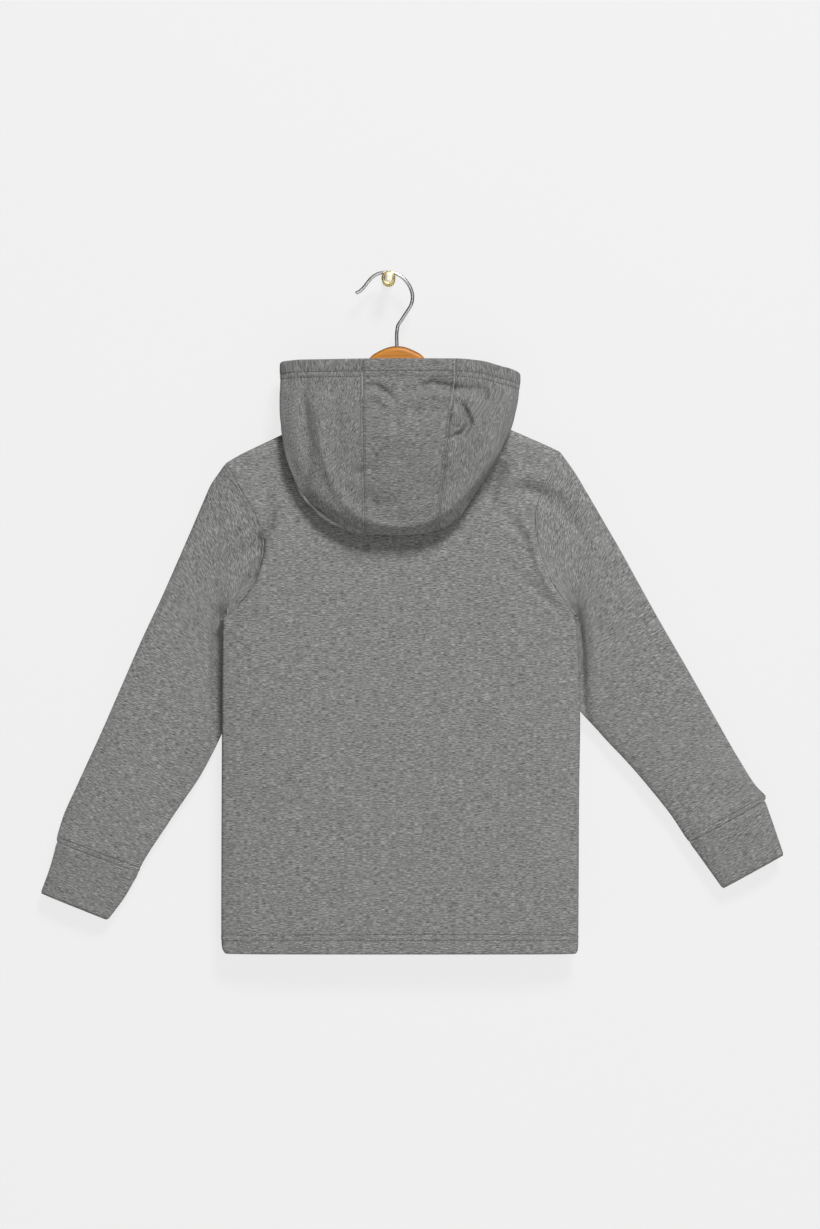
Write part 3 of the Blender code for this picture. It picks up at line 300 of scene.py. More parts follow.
HOOD_CREASES = crease_table(
    # the long trough at the left, the flap beside it and the ridge that runs round the pouch
    (4.4, -4.4, -75, -84, -76.5, -105, -74.5, -127, -72.5, -145, -72, -163, -73, -184),
    (4.5, 1, -88, -106, -86, -136, -81.5, -163, -77.5, -178),
    (4.6, 3.4, -64, -108, -61.5, -145, -56, -168, -48, -190, -37, -206),
    (4.6, 3.4, -44, -199, -24, -216.5, -8, -222.5, 10, -225, 33, -221, 52, -209),
    (4.2, 3.2, 42, -216, 57, -205, 70, -193, 84, -175, 96, -156, 105, -136),
    # the rolled band below that ridge
    (6.4, -7.5, -84, -174, -74, -198, -62, -211, -46.5, -223.5, -26, -233),
    (1.7, -2.2, -60, -204, -46, -214, -32, -223),
    (4.6, -3.2, 36, -232, 50, -227, 66, -215.5, 83, -196, 95, -176, 105, -154),
    # pressed-in creases under the hem
    (2.6, -7, 63.5, -111, 69.5, -121, 72.5, -131, 68, -139.5, 54, -145.5),
    (4, 2.4, 54, -118, 62, -126, 58, -135),
    (4.4, -5.2, 16, -105, 27, -99.5, 40, -96, 55, -100, 69, -101.5, 84, -101),
    (5.5, -3, 76, -99, 88, -108, 92, -120), (4.5, 1.8, 24, -108, 46, -105, 64, -108),
    (3.1, -3.6, -23, -97, -10, -99, -2, -104, 6, -113), (4, 1.8, -16, -104, -5, -110, 2, -119),
    # shallow hollows of the middle and right
    (5, -3, 84, -128, 78, -154, 64, -178, 48, -193), (4, -2.2, 72, -140, 66, -158, 58, -172),
    (5.5, -2.8, -2, -155, -10, -169, -22, -176, -36, -177), (6, -2.8, -26, -198, -10, -204, 8, -201),
    (6, -2, -48, -108, -44, -134, -47, -164), (6, -2, 8, -126, 30, -122, 48, -116),
    (9, 1.6, -14, -140, 8, -146, 36, -140),
)


# ---- curves


def ramp(value, start, end):
    """0 up to start, 1 from end on and a straight line between them."""
    return np.clip((value - start) / (end - start), 0, 1)


def bump_at(distance, width):
    """A soft bump, 1 in its middle."""
    return np.exp(-((distance / width) ** 2))


def unit(vectors):
    """Vectors made one long."""
    return vectors / np.maximum(np.linalg.norm(vectors, axis=-1, keepdims=True), 1e-9)


def along_line(points):
    """The distance of each point of a line from its start, along the line."""
    steps = np.linalg.norm(np.diff(points, axis=0), axis=-1)
    return np.concatenate([[0], np.cumsum(steps)])


def read_at(place, along, values):
    """Three columns of values that belong to the places along, read at other places."""
    return np.stack([np.interp(place, along, values[:, k]) for k in range(3)], axis=-1)


def cubic(knots, values, tangent):
    """A function that runs through values at the knots, with a tangent at each."""

    def at(place):
        place = np.clip(np.asarray(place, float), knots[0], knots[-1])
        k = np.clip(np.searchsorted(knots, place, side="right") - 1, 0, len(knots) - 2)
        width = (knots[k + 1] - knots[k])[..., None]
        t = (place - knots[k])[..., None] / width
        rise = values[k + 1] - values[k]
        start, end = tangent[k] * width, tangent[k + 1] * width
        return values[k] + t * start + t * t * (3 * rise - 2 * start - end) + t**3 * (start + end - 2 * rise)

    return at


def smooth_curve(knots, values):
    """A function that runs through values at the knots and never overshoots them."""
    knots = np.array(knots, float)
    values = np.array(values, float).reshape(len(knots), -1)
    slope = np.diff(values, axis=0) / np.diff(knots)[:, None]
    before, after = slope[:-1], slope[1:]
    same_way = before * after > 0
    total = np.where(same_way, before + after, 1)
    inner = np.where(same_way, 2 * before * after / total, 0)
    return cubic(knots, values, np.concatenate([slope[:1], inner, slope[-1:]]))


def through_points(points):
    """A smooth curve through points, read from 0 to 1 by the distance along them, and its knots."""
    points = np.array(points, float)
    along = along_line(points)
    knots = along / along[-1]
    return cubic(knots, points, np.gradient(points, knots, axis=0)), knots


def close_ends(count, low, high):
    """Places from low to high that lie closer together towards both ends."""
    even = np.linspace(0, 1, count)
    eased = (1 - np.cos(math.pi * even)) / 2
    return low + (high - low) * (0.45 * even + 0.55 * eased)


def crease_height(x, z, creases):
    """How far creases raise the cloth at points (x, z)."""
    total = np.zeros(np.shape(x))
    for crease in creases:
        before = along_line(crease.course)
        nearest, along = np.full(np.shape(x), FAR), np.zeros(np.shape(x))
        for start, end, done in zip(crease.course[:-1], crease.course[1:], before):
            length = np.linalg.norm(end - start)
            step = (end - start) / length
            held = np.clip((x - start[0]) * step[0] + (z - start[1]) * step[1], 0, length)
            away = np.hypot(x - start[0] - held * step[0], z - start[1] - held * step[1])
            closer = away < nearest
            nearest = np.where(closer, away, nearest)
            along = np.where(closer, done + held, along)
        taper = np.sin(math.pi * np.clip(along / before[-1], 0.04, 0.96)) ** 0.6
        total += crease.height * bump_at(nearest, crease.width) * taper
    return total


def unevenness(points, seed, waves):
    """Small smooth rises and dips; waves holds the size and height of each layer of them."""
    total = np.zeros(points.shape[:-1])
    for layer, (size, height) in enumerate(waves):
        flat = points.reshape(-1, 3) / size + (seed + 7 * layer)
        total += height * np.reshape([noise.noise(Vector(p)) for p in flat], total.shape)
    return total


# ---- grids of points


def closed(grid):
    """A grid whose rows are rings, with each ring's start repeated at its end."""
    return np.concatenate([grid, grid[:, :1]], axis=1)


def normals_of(grid, around=False):
    """Unit normals of a grid of points; around says that its rows are rings."""
    wide = closed(grid) if around else grid
    face = unit(np.cross(wide[1:, 1:] - wide[:-1, :-1], wide[1:, :-1] - wide[:-1, 1:]))
    normal = np.zeros_like(wide)
    for rows in (slice(None, -1), slice(1, None)):
        for columns in (slice(None, -1), slice(1, None)):
            normal[rows, columns] += face
    if around:
        normal[:, 0] += normal[:, -1]
        normal = normal[:, :-1]
    return unit(normal)


def layers(base, height, thick, outward, around=False):
    """Outer and inner points of a cloth that stands a height above a base, and its normals."""
    normal = outward * normals_of(base, around)
    outer = base + normal * height[..., None]
    return outer, outer - outward * normals_of(outer, around) * thick[..., None], normal


def from_edge(grid, edge):
    """The grid turned so that its first, last, left or right edge is the first row."""
    if edge in ("left", "right"):
        grid = grid.swapaxes(0, 1)
    return grid[::-1] if edge in ("last", "right") else grid


def distance_from(grid, edge):
    """Distance of each point of a grid from an edge, along its own row or column."""
    turned = from_edge(grid, edge)
    steps = np.linalg.norm(np.diff(turned, axis=0), axis=2)
    away = np.concatenate([np.zeros((1, turned.shape[1])), np.cumsum(steps, axis=0)])
    if edge in ("last", "right"):
        away = away[::-1]
    return away.swapaxes(0, 1) if edge in ("left", "right") else away


def line_beside(grid, normal, edge, distance):
    """Points and normals of a cloth's surface at a distance from an edge."""
    away = from_edge(distance_from(grid, edge), edge)
    turned = [from_edge(grid, edge), from_edge(normal, edge)]
    return [np.array([read_at(distance, away[:, c], t[:, c]) for c in range(t.shape[1])]) for t in turned]


def seam_height(distance):
    """The dip at a seam and the swell of its allowance beside it."""
    swell = SEAM_SWELL * bump_at(distance - SEAM_SWELL_AWAY, SEAM_SWELL_WIDTH)
    return swell - SEAM_SINK * bump_at(distance, SEAM_DIP_WIDTH)


def armhole_seam(x, z, distance):
    """The dip and swell of an armhole's seam, which lies flatter at the top."""
    low = ramp(z, ARMHOLE_CLEAR_Z, ARMHOLE_CLEAR_Z - ARMHOLE_FADE)
    least = np.where(x < NECK_CENTRE_X, LEFT_TOP_SEAM, RIGHT_TOP_SEAM)
    return seam_height(distance) * (least + (1 - least) * low)


def stitch_height(distance, rows):
    """How far rows of stitches pull the cloth in."""
    return -STITCH_SINK * sum(bump_at(distance - row, STITCH_SINK_WIDTH) for row in rows)


# ---- meshes


def linked(name, data):
    """A new object of the scene that shows data."""
    made = bpy.data.objects.new(name, data)
    bpy.context.scene.collection.objects.link(made)
    return made


def quads(index):
    """Faces between the neighbours in a grid of points' numbers."""
    corners = [index[:-1, :-1], index[:-1, 1:], index[1:, 1:], index[1:, :-1]]
    return np.stack([corner.ravel() for corner in corners], axis=1)


def mesh_object(name, points, faces, material):
    """A mesh of points in millimetres, as a new object."""
    mesh = bpy.data.meshes.new(name)
    mesh.from_pydata((np.asarray(points) * MM).tolist(), [], faces)
    mesh.materials.append(material)
    mesh.shade_smooth()
    return linked(name, mesh)


def shell(name, outer, inner, flat, material, around=False):
    """A closed thin shell between two grids. flat holds the places on the cut cloth."""
    if around:
        outer, inner = closed(outer), closed(inner)
    rows, columns = outer.shape[:2]
    count = rows * columns
    index = np.arange(count).reshape(rows, columns)
    faces = [quads(index), quads(index)[:, ::-1] + count]
    rims = [index[0][::-1], index[-1]]
    if not around:
        rims += [index[:, 0], index[::-1, -1]]
    for rim in rims:
        faces.append(np.stack([rim[:-1], rim[1:], rim[1:] + count, rim[:-1] + count], axis=1))
    faces = np.concatenate(faces)
    points = np.concatenate([outer.reshape(-1, 3), inner.reshape(-1, 3)])
    places = np.concatenate([flat.reshape(-1, 2)] * 2)[faces.ravel()]
    if around:
        ring = np.arange(2 * count).reshape(2, rows, columns)
        ring[:, :, -1] = ring[:, :, 0]
        used, renumber = np.unique(ring, return_inverse=True)
        faces = renumber.reshape(-1)[faces]
        points = points[used]
    made = mesh_object(name, points, faces.tolist(), material)
    layer = made.data.uv_layers.new(name=CLOTH_MAP)
    layer.uv.foreach_set("vector", places.astype(np.float32).ravel())
    return made


def stitches(name, lines, material):
    """Rows of raised stitches along lines of surface points and normals, as one mesh."""
    rise = np.array([row[1] for row in STITCH_SHAPE])[:, None] * THREAD_RADIUS
    length, sides = len(STITCH_SHAPE), THREAD_SIDES
    points, faces = [], []
    for line, normal in lines:
        along = along_line(line)
        pitch = STITCH_LENGTH + STITCH_GAP
        count = int((along[-1] - STITCH_GAP) / pitch)
        spare = along[-1] - count * pitch + STITCH_GAP
        for k in range(count):
            places = [spare / 2 + k * pitch + share * STITCH_LENGTH for share, _ in STITCH_SHAPE]
            centre, up = read_at(places, along, line), read_at(places, along, normal)
            across = unit(np.cross(up, unit(centre[-1] - centre[0])))
            first = len(points)
            for j in range(sides):
                turn = 2 * math.pi * j / sides
                ring = centre + up * (rise + THREAD_RADIUS * math.sin(turn))
                points.extend(ring + across * THREAD_RADIUS * math.cos(turn))
                a, b = first + j * length, first + (j + 1) % sides * length
                faces += [(a + i, b + i, b + i + 1, a + i + 1) for i in range(length - 1)]
            starts = [first + j * length for j in range(sides)]
            faces += [tuple(starts[::-1]), tuple(start + length - 1 for start in starts)]
    return mesh_object(name, points, faces, material)


# ---- the body's outline


def edge_curve(points):
    """The x of a smooth edge at any height."""
    curve = smooth_curve(*zip(*points))
    return lambda z: curve(z)[..., 0]


NECK_LEFT = NECK_CENTRE_X - NECK_HALF_WIDTH
NECK_RIGHT = NECK_CENTRE_X + NECK_HALF_WIDTH
# Each half of the body: its outward way, its edge's curves, the underarm and both ends of its shoulder seam.
Half = namedtuple("Half", "outward side armhole low_z low_x tip_x tip_z neck_x")
LEFT = Half(
    -1, edge_curve(LEFT_SIDE), edge_curve(LEFT_ARMHOLE), *LEFT_SIDE[-1], LEFT_TIP_X, LEFT_TIP_Z, NECK_LEFT
)
RIGHT = Half(
    1, edge_curve(RIGHT_SIDE), edge_curve(RIGHT_ARMHOLE), *RIGHT_SIDE[-1], RIGHT_TIP_X, RIGHT_TIP_Z,
    NECK_RIGHT
)


def top_z(side, x):
    """Height of the top edge of the front (side 1) or the back (side -1)."""
    across = np.clip((x - NECK_CENTRE_X) / NECK_HALF_WIDTH, -1, 1)
    left, right = shoulder_z(NECK_LEFT), shoulder_z(NECK_RIGHT)
    drop = BACK_NECK_DROP if side < 0 else FRONT_NECK_DROP
    neck = left + (right - left) * (across + 1) / 2 - drop * (1 - np.abs(across) ** NECK_POWER)
    return np.where(np.abs(x - NECK_CENTRE_X) < NECK_HALF_WIDTH, neck, shoulder_z(x))


def edge_at(half, up):
    """x and z of a side's edge: up is 0 at the hem, 1 at the underarm and 2 at the tip."""
    low, high = np.minimum(up, 1), np.maximum(up - 1, 0)
    z = HEM_Z + low * (half.low_z - HEM_Z) + high * (half.tip_z - half.low_z)
    return np.where(up <= 1, half.side(z), half.armhole(z)), z


def swell_from(distance, edge_round, reach):
    """Half depth away from an edge: the rounded edge, then a slow swell to the full depth."""
    rounded = np.sqrt(edge_round**2 - (edge_round - np.clip(distance, 0, edge_round)) ** 2)
    beyond = np.maximum(distance - edge_round, 0)
    return rounded + (BODY_HALF_DEPTH - edge_round) * (1 - np.exp(-beyond / reach))


def half_depth(x, z, creases):
    """How far a panel's outer face lies from the plane of the seams."""
    from_side, from_shoulder = [], []
    for half in (LEFT, RIGHT):
        to_underarm = np.hypot(x - half.low_x, z - half.low_z)
        from_side.append(np.where(z < half.low_z, half.outward * (half.side(z) - x), to_underarm))
        nearest = np.clip(x, min(half.tip_x, half.neck_x), max(half.tip_x, half.neck_x))
        below = np.maximum(shoulder_z(nearest) - z, 0) * math.cos(ARM_SLOPE)
        from_shoulder.append(np.hypot(x - nearest, below))
    beside = swell_from(np.maximum(np.minimum(*from_side), 0), SIDE_ROUND, SIDE_REACH)
    above = swell_from(np.minimum(*from_shoulder), SHOULDER_ROUND, SHOULDER_REACH)
    least = np.maximum(np.minimum(beside, above), 1e-6)
    most = np.maximum(np.maximum(beside, above), 1e-6)
    depth = least * (1 + (least / most) ** TURN_POWER) ** (-1 / TURN_POWER)
    return depth + crease_height(x, z, creases) * np.minimum(depth / CREASE_DEPTH, 1) ** 2


def body_point(side, across, up, creases):
    """Points of a panel's outer face: across is 0 at the left edge and 1 at the right."""
    (left_x, left_z), (right_x, right_z) = edge_at(LEFT, up), edge_at(RIGHT, up)
    x = left_x + across * (right_x - left_x)
    level = left_z + across * (right_z - left_z)
    top_x = LEFT_TIP_X + across * (RIGHT_TIP_X - LEFT_TIP_X)
    top_level = LEFT_TIP_Z + across * (RIGHT_TIP_Z - LEFT_TIP_Z)
    lift = ((left_z - HEM_Z) / (LEFT_TIP_Z - HEM_Z)) ** 2 * (top_z(side, top_x) - top_level)
    z = level + np.where((across <= 0) | (across >= 1), 0, lift)
    y = GARMENT_Y + side * (SEAM_GAP / 2 + half_depth(x, z, creases))
    return np.stack([x, y, z], axis=-1)


SHOULDER_COLUMNS, NECK_COLUMNS = 38, 75
SIDE_ROWS, ARMHOLE_ROWS = 132, 96
NECK_STATIONS = close_ends(NECK_COLUMNS, -1, 1)
BODY_ROWS = np.concatenate([close_ends(SIDE_ROWS, 0, 1), close_ends(ARMHOLE_ROWS, 1, 2)[1:]])


def body_columns():
    """Places across the body, closer together towards its edges and the neck's ends."""
    low, high = ((x - LEFT_TIP_X) / (RIGHT_TIP_X - LEFT_TIP_X) for x in (NECK_LEFT, NECK_RIGHT))
    left = close_ends(SHOULDER_COLUMNS + 1, 0, low)[:-1]
    right = close_ends(SHOULDER_COLUMNS + 1, high, 1)[1:]
    return np.concatenate([left, low + (NECK_STATIONS + 1) / 2 * (high - low), right])


def body_grids(side, creases, seed):
    """Outer and inner points of a panel, and its places on the cut cloth."""
    up, across = np.meshgrid(BODY_ROWS, body_columns(), indexing="ij")
    base = body_point(side, across, up, creases)
    x, y, z = np.moveaxis(base, -1, 0)
    from_hem, from_top = distance_from(base, "first"), distance_from(base, "last")
    from_armhole = np.minimum(distance_from(base, "left"), distance_from(base, "right"))
    edge = bump_at(from_hem, EDGE_SOFT)
    height = unevenness(base, seed, BODY_UNEVEN) * ramp(np.minimum(from_armhole, from_top), 0, BODY_CALM)
    height += seam_height(from_top) + np.where(up > 1, armhole_seam(x, z, from_armhole), 0)
    height += stitch_height(from_hem, HEM_ROWS) - EDGE_SINK * edge
    height += HEM_STEP * ramp(from_hem, HEM_DEEP + HEM_STEP_WIDTH, HEM_DEEP)
    height = np.maximum(height, -0.6 * side * (y - GARMENT_Y))
    thick = np.where(from_hem <= HEM_DEEP, DOUBLED, CLOTH) * (1 - EDGE_THIN * edge)
    outer, inner, _ = layers(base, height, thick, -side)
    inner[..., 1] = GARMENT_Y + side * np.maximum(side * (inner[..., 1] - GARMENT_Y), SEAM_GAP / 2)
    return outer, inner, np.stack([x, z], axis=-1)


# ---- sleeves and cuffs

SLEEVE_SIDES = 96
ROWS_PER_RING = 12
CUFF_ROWS = 24
# Angles round a sleeve, from its underarm up the front to its top fold and down the back.
ANGLES = np.pi + np.linspace(0, 2 * math.pi, SLEEVE_SIDES, endpoint=False)
OUTER_SHARE = (1 + np.cos(ANGLES)) / 2  # 1 at the top fold and 0 at the underarm
BACKWARD = np.sin(ANGLES)  # 1 in the middle of the back and -1 in the middle of the front
RING_END_SHARE = 1.3
OUTER, INNER, HALF_DEPTH, BOW = [0, 4, 1], [2, 5, 3], 6, 7  # columns of a ring; x, y and z of its folds
TUCK = 6  # how much further than its solid a sleeve's underarm fold reaches in behind the body's side
TUCK_BACK = 3  # how much further than its solid it lies towards the wall
SLEEVE_OFF = 1.2  # seam gaps between the armhole's edge and the sleeve
FOLD_SPACE = 2.8  # what a valley leaves between a sleeve's two layers
TUCK_RINGS = (0.3, 2.5, 7, 9.5)  # it starts, is full, is still full and ends at these rings


def rings_between(rings, depths, count):
    """Rows of a tube between its given rings, and their places."""
    places = np.linspace(0, len(rings) - 1, count)
    return smooth_curve(range(len(rings)), np.hstack([rings, depths]))(places), places


def bulge(ring, shrink=0):
    """Half the depth of flattened rings at each angle."""
    return (ring[:, HALF_DEPTH, None] - shrink) * np.abs(BACKWARD) ** 0.8


def ring_points(ring, shrink=0):
    """Points of flattened rings: angle 0 is the outer end and half a turn the inner end."""
    outer, inner = ring[:, None, OUTER], ring[:, None, INNER]
    width = np.linalg.norm((outer - inner)[..., [0, 2]], axis=-1, keepdims=True)
    end = shrink * RING_END_SHARE / width
    points = inner + (end + (1 - 2 * end) * OUTER_SHARE[None, :, None]) * (outer - inner)
    points[..., 1] -= np.sign(BACKWARD) * bulge(ring, shrink)
    return points


def armhole_loop(half):
    """The body's armhole edge at the angles of a sleeve's ring."""
    across = np.full(SLEEVE_SIDES, (half.outward + 1) / 2)
    back, front = (
        body_point(side, across, 1 + OUTER_SHARE, creases)
        for side, creases in ((-1, BACK_CREASES), (1, FRONT_CREASES))
    )
    loop = np.where((BACKWARD > 0)[:, None], back, front)
    loop[np.abs(BACKWARD) < 1e-6, 1] = GARMENT_Y
    return loop


def off_armhole(loop, half):
    """Steps of a seam's gap from the body's armhole to the sleeve, square to its curve."""
    slope = (half.armhole(loop[:, 2] + 1) - half.armhole(loop[:, 2] - 1)) / 2
    return SEAM_GAP * SLEEVE_OFF * unit(half.outward * np.stack([0 * slope + 1, 0 * slope, -slope], axis=1))


def tube_flat(base, piece):
    """Places on the cut cloth of a tube: round it, then along it."""
    around = distance_from(closed(base), "left")
    around = around - around[:, -1:] / 2
    along = np.repeat(along_line(base.mean(axis=1))[:, None], around.shape[1], axis=1)
    return np.stack([around + PIECE_APART * piece, along], axis=-1)


def sleeve_grids(rings, half, back_creases, front_creases, seed):
    """Outer and inner points of a sleeve and its normals."""
    ring, places = rings_between(rings, SLEEVE_DEPTHS, ROWS_PER_RING * (len(rings) - 1) + 1)
    tucked = np.interp(places, TUCK_RINGS, (0, 1, 1, 0))
    ring[:, INNER] += tucked[:, None] * (-half.outward * TUCK, TUCK_BACK, 0)
    base = ring_points(ring)
    loop, straight = armhole_loop(half), ring_points(ring[:1])[0]
    bow = ring[:, BOW, None]
    bow = bow * np.minimum(OUTER_SHARE / 0.3, 1) ** (4.2 * (1 - bow))
    base += bow[..., None] * (loop - straight)
    base += ramp(places, 0.4, 0)[:, None, None] * off_armhole(loop, half)
    x, _, z = np.moveaxis(base, -1, 0)
    from_armhole, from_cuff = distance_from(base, "first"), distance_from(base, "last")
    on_back, on_front = ramp(2.2 * BACKWARD, 0, 1), ramp(-2.2 * BACKWARD, 0, 1)
    valley = crease_height(x, z, back_creases[:2]) * on_back * ramp(from_armhole, 0, 5)
    valley = np.maximum(valley, -np.maximum(2 * bulge(ring) - FOLD_SPACE, 0))
    height = crease_height(x, z, back_creases[2:]) * on_back + crease_height(x, z, front_creases) * on_front
    height += unevenness(base, seed, SLEEVE_UNEVEN) * np.abs(BACKWARD)
    height *= ramp(from_armhole, 0, 3) * ramp(from_cuff, -1.8, 4.2)
    height += valley + armhole_seam(x, z, from_armhole)
    height += CUFF_SEAM * seam_height(from_cuff) + stitch_height(from_cuff, [CUFF_ROW])
    return layers(base, height, np.array(CLOTH), half.outward, around=True)


def cuff_grids(rings, half, seed):
    """Outer and inner points of a cuff, a short tube of doubled cloth."""
    ring, _ = rings_between(rings, CUFF_DEPTHS, CUFF_ROWS)
    base = ring_points(ring)
    normal = normals_of(base, True) * half.outward
    edge = bump_at(distance_from(base, "last"), EDGE_SOFT)
    height = unevenness(base, seed, CUFF_UNEVEN) * np.abs(BACKWARD)
    height += CUFF_SEAM * seam_height(distance_from(base, "first")) - EDGE_SINK * edge
    outer = base + normal * height[..., None]
    inner = ring_points(ring, DOUBLED) + normal * (height + DOUBLED * EDGE_THIN * edge)[..., None]
    return outer, inner


# ---- the hood

hood_fields = smooth_curve(HOOD[:, 0], HOOD)
# Rows of points between one control point of a hood profile and the next.
HOOD_ROWS = [2, 3, 4, 12, 12, 6, 6, 28, 32, 28, 22, 14]
HOOD_COLUMN_STEP = 0.014
HOOD_CENTRE_COLUMNS = 60
HOOD_OFF = 1.3  # seam gaps between the neck's edge and the hood
UP = np.array([0, 0, 1])


def outward_of(around):
    """The level way that the hood folds: back, at a shoulder to its side, then to the wall."""
    quarter = abs(around) ** 5 if abs(around) <= 1 else 2 - (2 - abs(around)) ** 5
    turn = math.copysign(math.pi / 2 * quarter, around)
    return np.array([math.sin(turn), -math.cos(turn), 0])


def neck_edge(grids, around, layer):
    """A point off the body's neck edge by the gap of a seam: layer 0 is its outer corner."""
    side = -1 if abs(around) <= 1 else 1
    station = around if side < 0 else math.copysign(2 - abs(around), around)
    point = read_at(station, NECK_STATIONS, grids[side][layer][-1, SHOULDER_COLUMNS:-SHOULDER_COLUMNS])
    if abs(around) == 1:
        point[1] = GARMENT_Y
    outward = outward_of(around)
    return point + SEAM_GAP * HOOD_OFF * (UP - outward * abs(outward[0]))


def hood_profile(grids, around):
    """The hood's curve at a station, from the neck seam to the face edge."""
    station = Station(*hood_fields(around))
    seam, outward = neck_edge(grids, around, 0), outward_of(around)
    bottom = np.array([station.bottom_x, station.bottom_y, station.bottom_z])
    face = np.array([station.face_x, station.face_y, station.face_z])
    turned = outward * FOLD_ROUND * station.fold
    over, falling = seam + UP * station.stand + turned, seam + UP * (station.stand - 4) + 2 * turned
    above, across = bottom + UP * POUCH_ROUND * 1.3, outward * POUCH_ROUND * station.fold
    inside, outside = above - across, above + across
    hem = face - UP * HOOD_HEM * 0.9 + outward
    folded = [seam, seam + UP * station.stand * 0.55 + outward * 0.3, over, falling]
    folded += [falling + (inside - falling) * 0.5, inside, bottom, outside]
    for share, belly in ((0.25, 0.8), (0.55, 1), (0.8, 0.6)):
        folded.append(outside + (hem - outside) * share + outward * station.belly * belly)
    folded += [hem, face]
    plain = np.linspace(seam, face, len(folded))
    return plain + (station.fold, station.fold, station.fold**2) * (folded - plain)


def hood_stations():
    """Stations of the left piece, the middle strip and the right piece."""
    knots = [around for around in HOOD[:-1, 0] if around > HOOD_SEAM]
    knots = [HOOD_SEAM + HALF_SEAM] + knots + [2 - HALF_SEAM]
    right = [knots[0]]
    for low, high in zip(knots[:-1], knots[1:]):
        steps = max(4, math.ceil((high - low) / HOOD_COLUMN_STEP))
        right += list(np.linspace(low, high, steps + 1)[1:])
    centre = list(np.linspace(-HOOD_SEAM + HALF_SEAM, HOOD_SEAM - HALF_SEAM, HOOD_CENTRE_COLUMNS))
    return [-s for s in reversed(right)], centre, right


def hood_grids(grids, seed):
    """Outer and inner points and normals of the hood's three pieces."""
    parts = hood_stations()
    stations = sum(parts, [])
    places = [k + i / n for k, n in enumerate(HOOD_ROWS) for i in range(n)] + [len(HOOD_ROWS)]
    places = np.array(places, float)
    columns = []
    for around in stations:
        at, knots = through_points(hood_profile(grids, around))
        columns.append(at(np.interp(places, range(len(knots)), knots)))
    base = np.array(columns).transpose(1, 0, 2)
    hanging = ramp(places, *HOOD_HANGS)[:, None] * Station(*hood_fields(stations).T).fold
    base[..., 1] -= crease_height(base[..., 0], base[..., 2], HOOD_CREASES) * hanging
    normal = normals_of(base)
    from_face, from_neck = distance_from(base, "last"), distance_from(base, "first")
    edge = bump_at(from_face, EDGE_SOFT)
    height = unevenness(base, seed, HOOD_UNEVEN) * ramp(from_neck, 0, HOOD_CALM)
    height += stitch_height(from_face, HOOD_HEM_ROWS) - EDGE_SINK * edge + seam_height(from_neck)
    thick = np.where(from_face <= HOOD_HEM, DOUBLED, CLOTH) * (1 - EDGE_THIN * edge)
    made = []
    for k, part in enumerate(parts):
        start = sum(map(len, parts[:k]))
        span = slice(start, start + len(part))
        from_seam = np.full(height[:, span].shape, FAR)
        for sewn in HOOD_SEWN[k]:
            from_seam = np.minimum(from_seam, distance_from(base[:, span], sewn))
        rise = height[:, span] - FELL_SINK * bump_at(from_seam, FELL_DIP_WIDTH)
        rise = rise + 0.5 * stitch_height(from_seam, [FELL_ROW])
        outer = base[:, span] + normal[:, span] * rise[..., None]
        inner = outer - normals_of(outer) * thick[:, span, None]
        inner[0] = [neck_edge(grids, around, 1) for around in part]
        made.append((outer, inner, normal[:, span]))
    return made


# ---- materials

WARMTH = 0.982  # blue's share of the jersey's grey
MARL_SHADES = ((0.37, 0.062), (0.45, 0.145), (0.52, 0.235), (0.63, 0.43))
# Noises of the marl: scale along and across the flecks, shift, detail and roughness.
FLECKS = (
    ((0.3, 2, 1), 0, 2, 0.55),
    ((0.13, 1.5, 1), 31, 1.5, 0.5),
    ((0.03, 0.22, 1), 57, 2, 0.5),
    ((1.2, 2.6, 1), 5, 1, 0.5),
)
CHROME = (0.66, 0.67, 0.66)
BRASS = (0.86, 0.7, 0.3)
# pale colour of the peg head's middle: a painted highlight
PAINTED_HIGHLIGHT_BRASS = (0.96, 0.87, 0.68)
PEG_DISC_RADIUS = 4.2  # of the head's middle, painted pale as a highlight
WHITE = (1, 1, 1, 1)


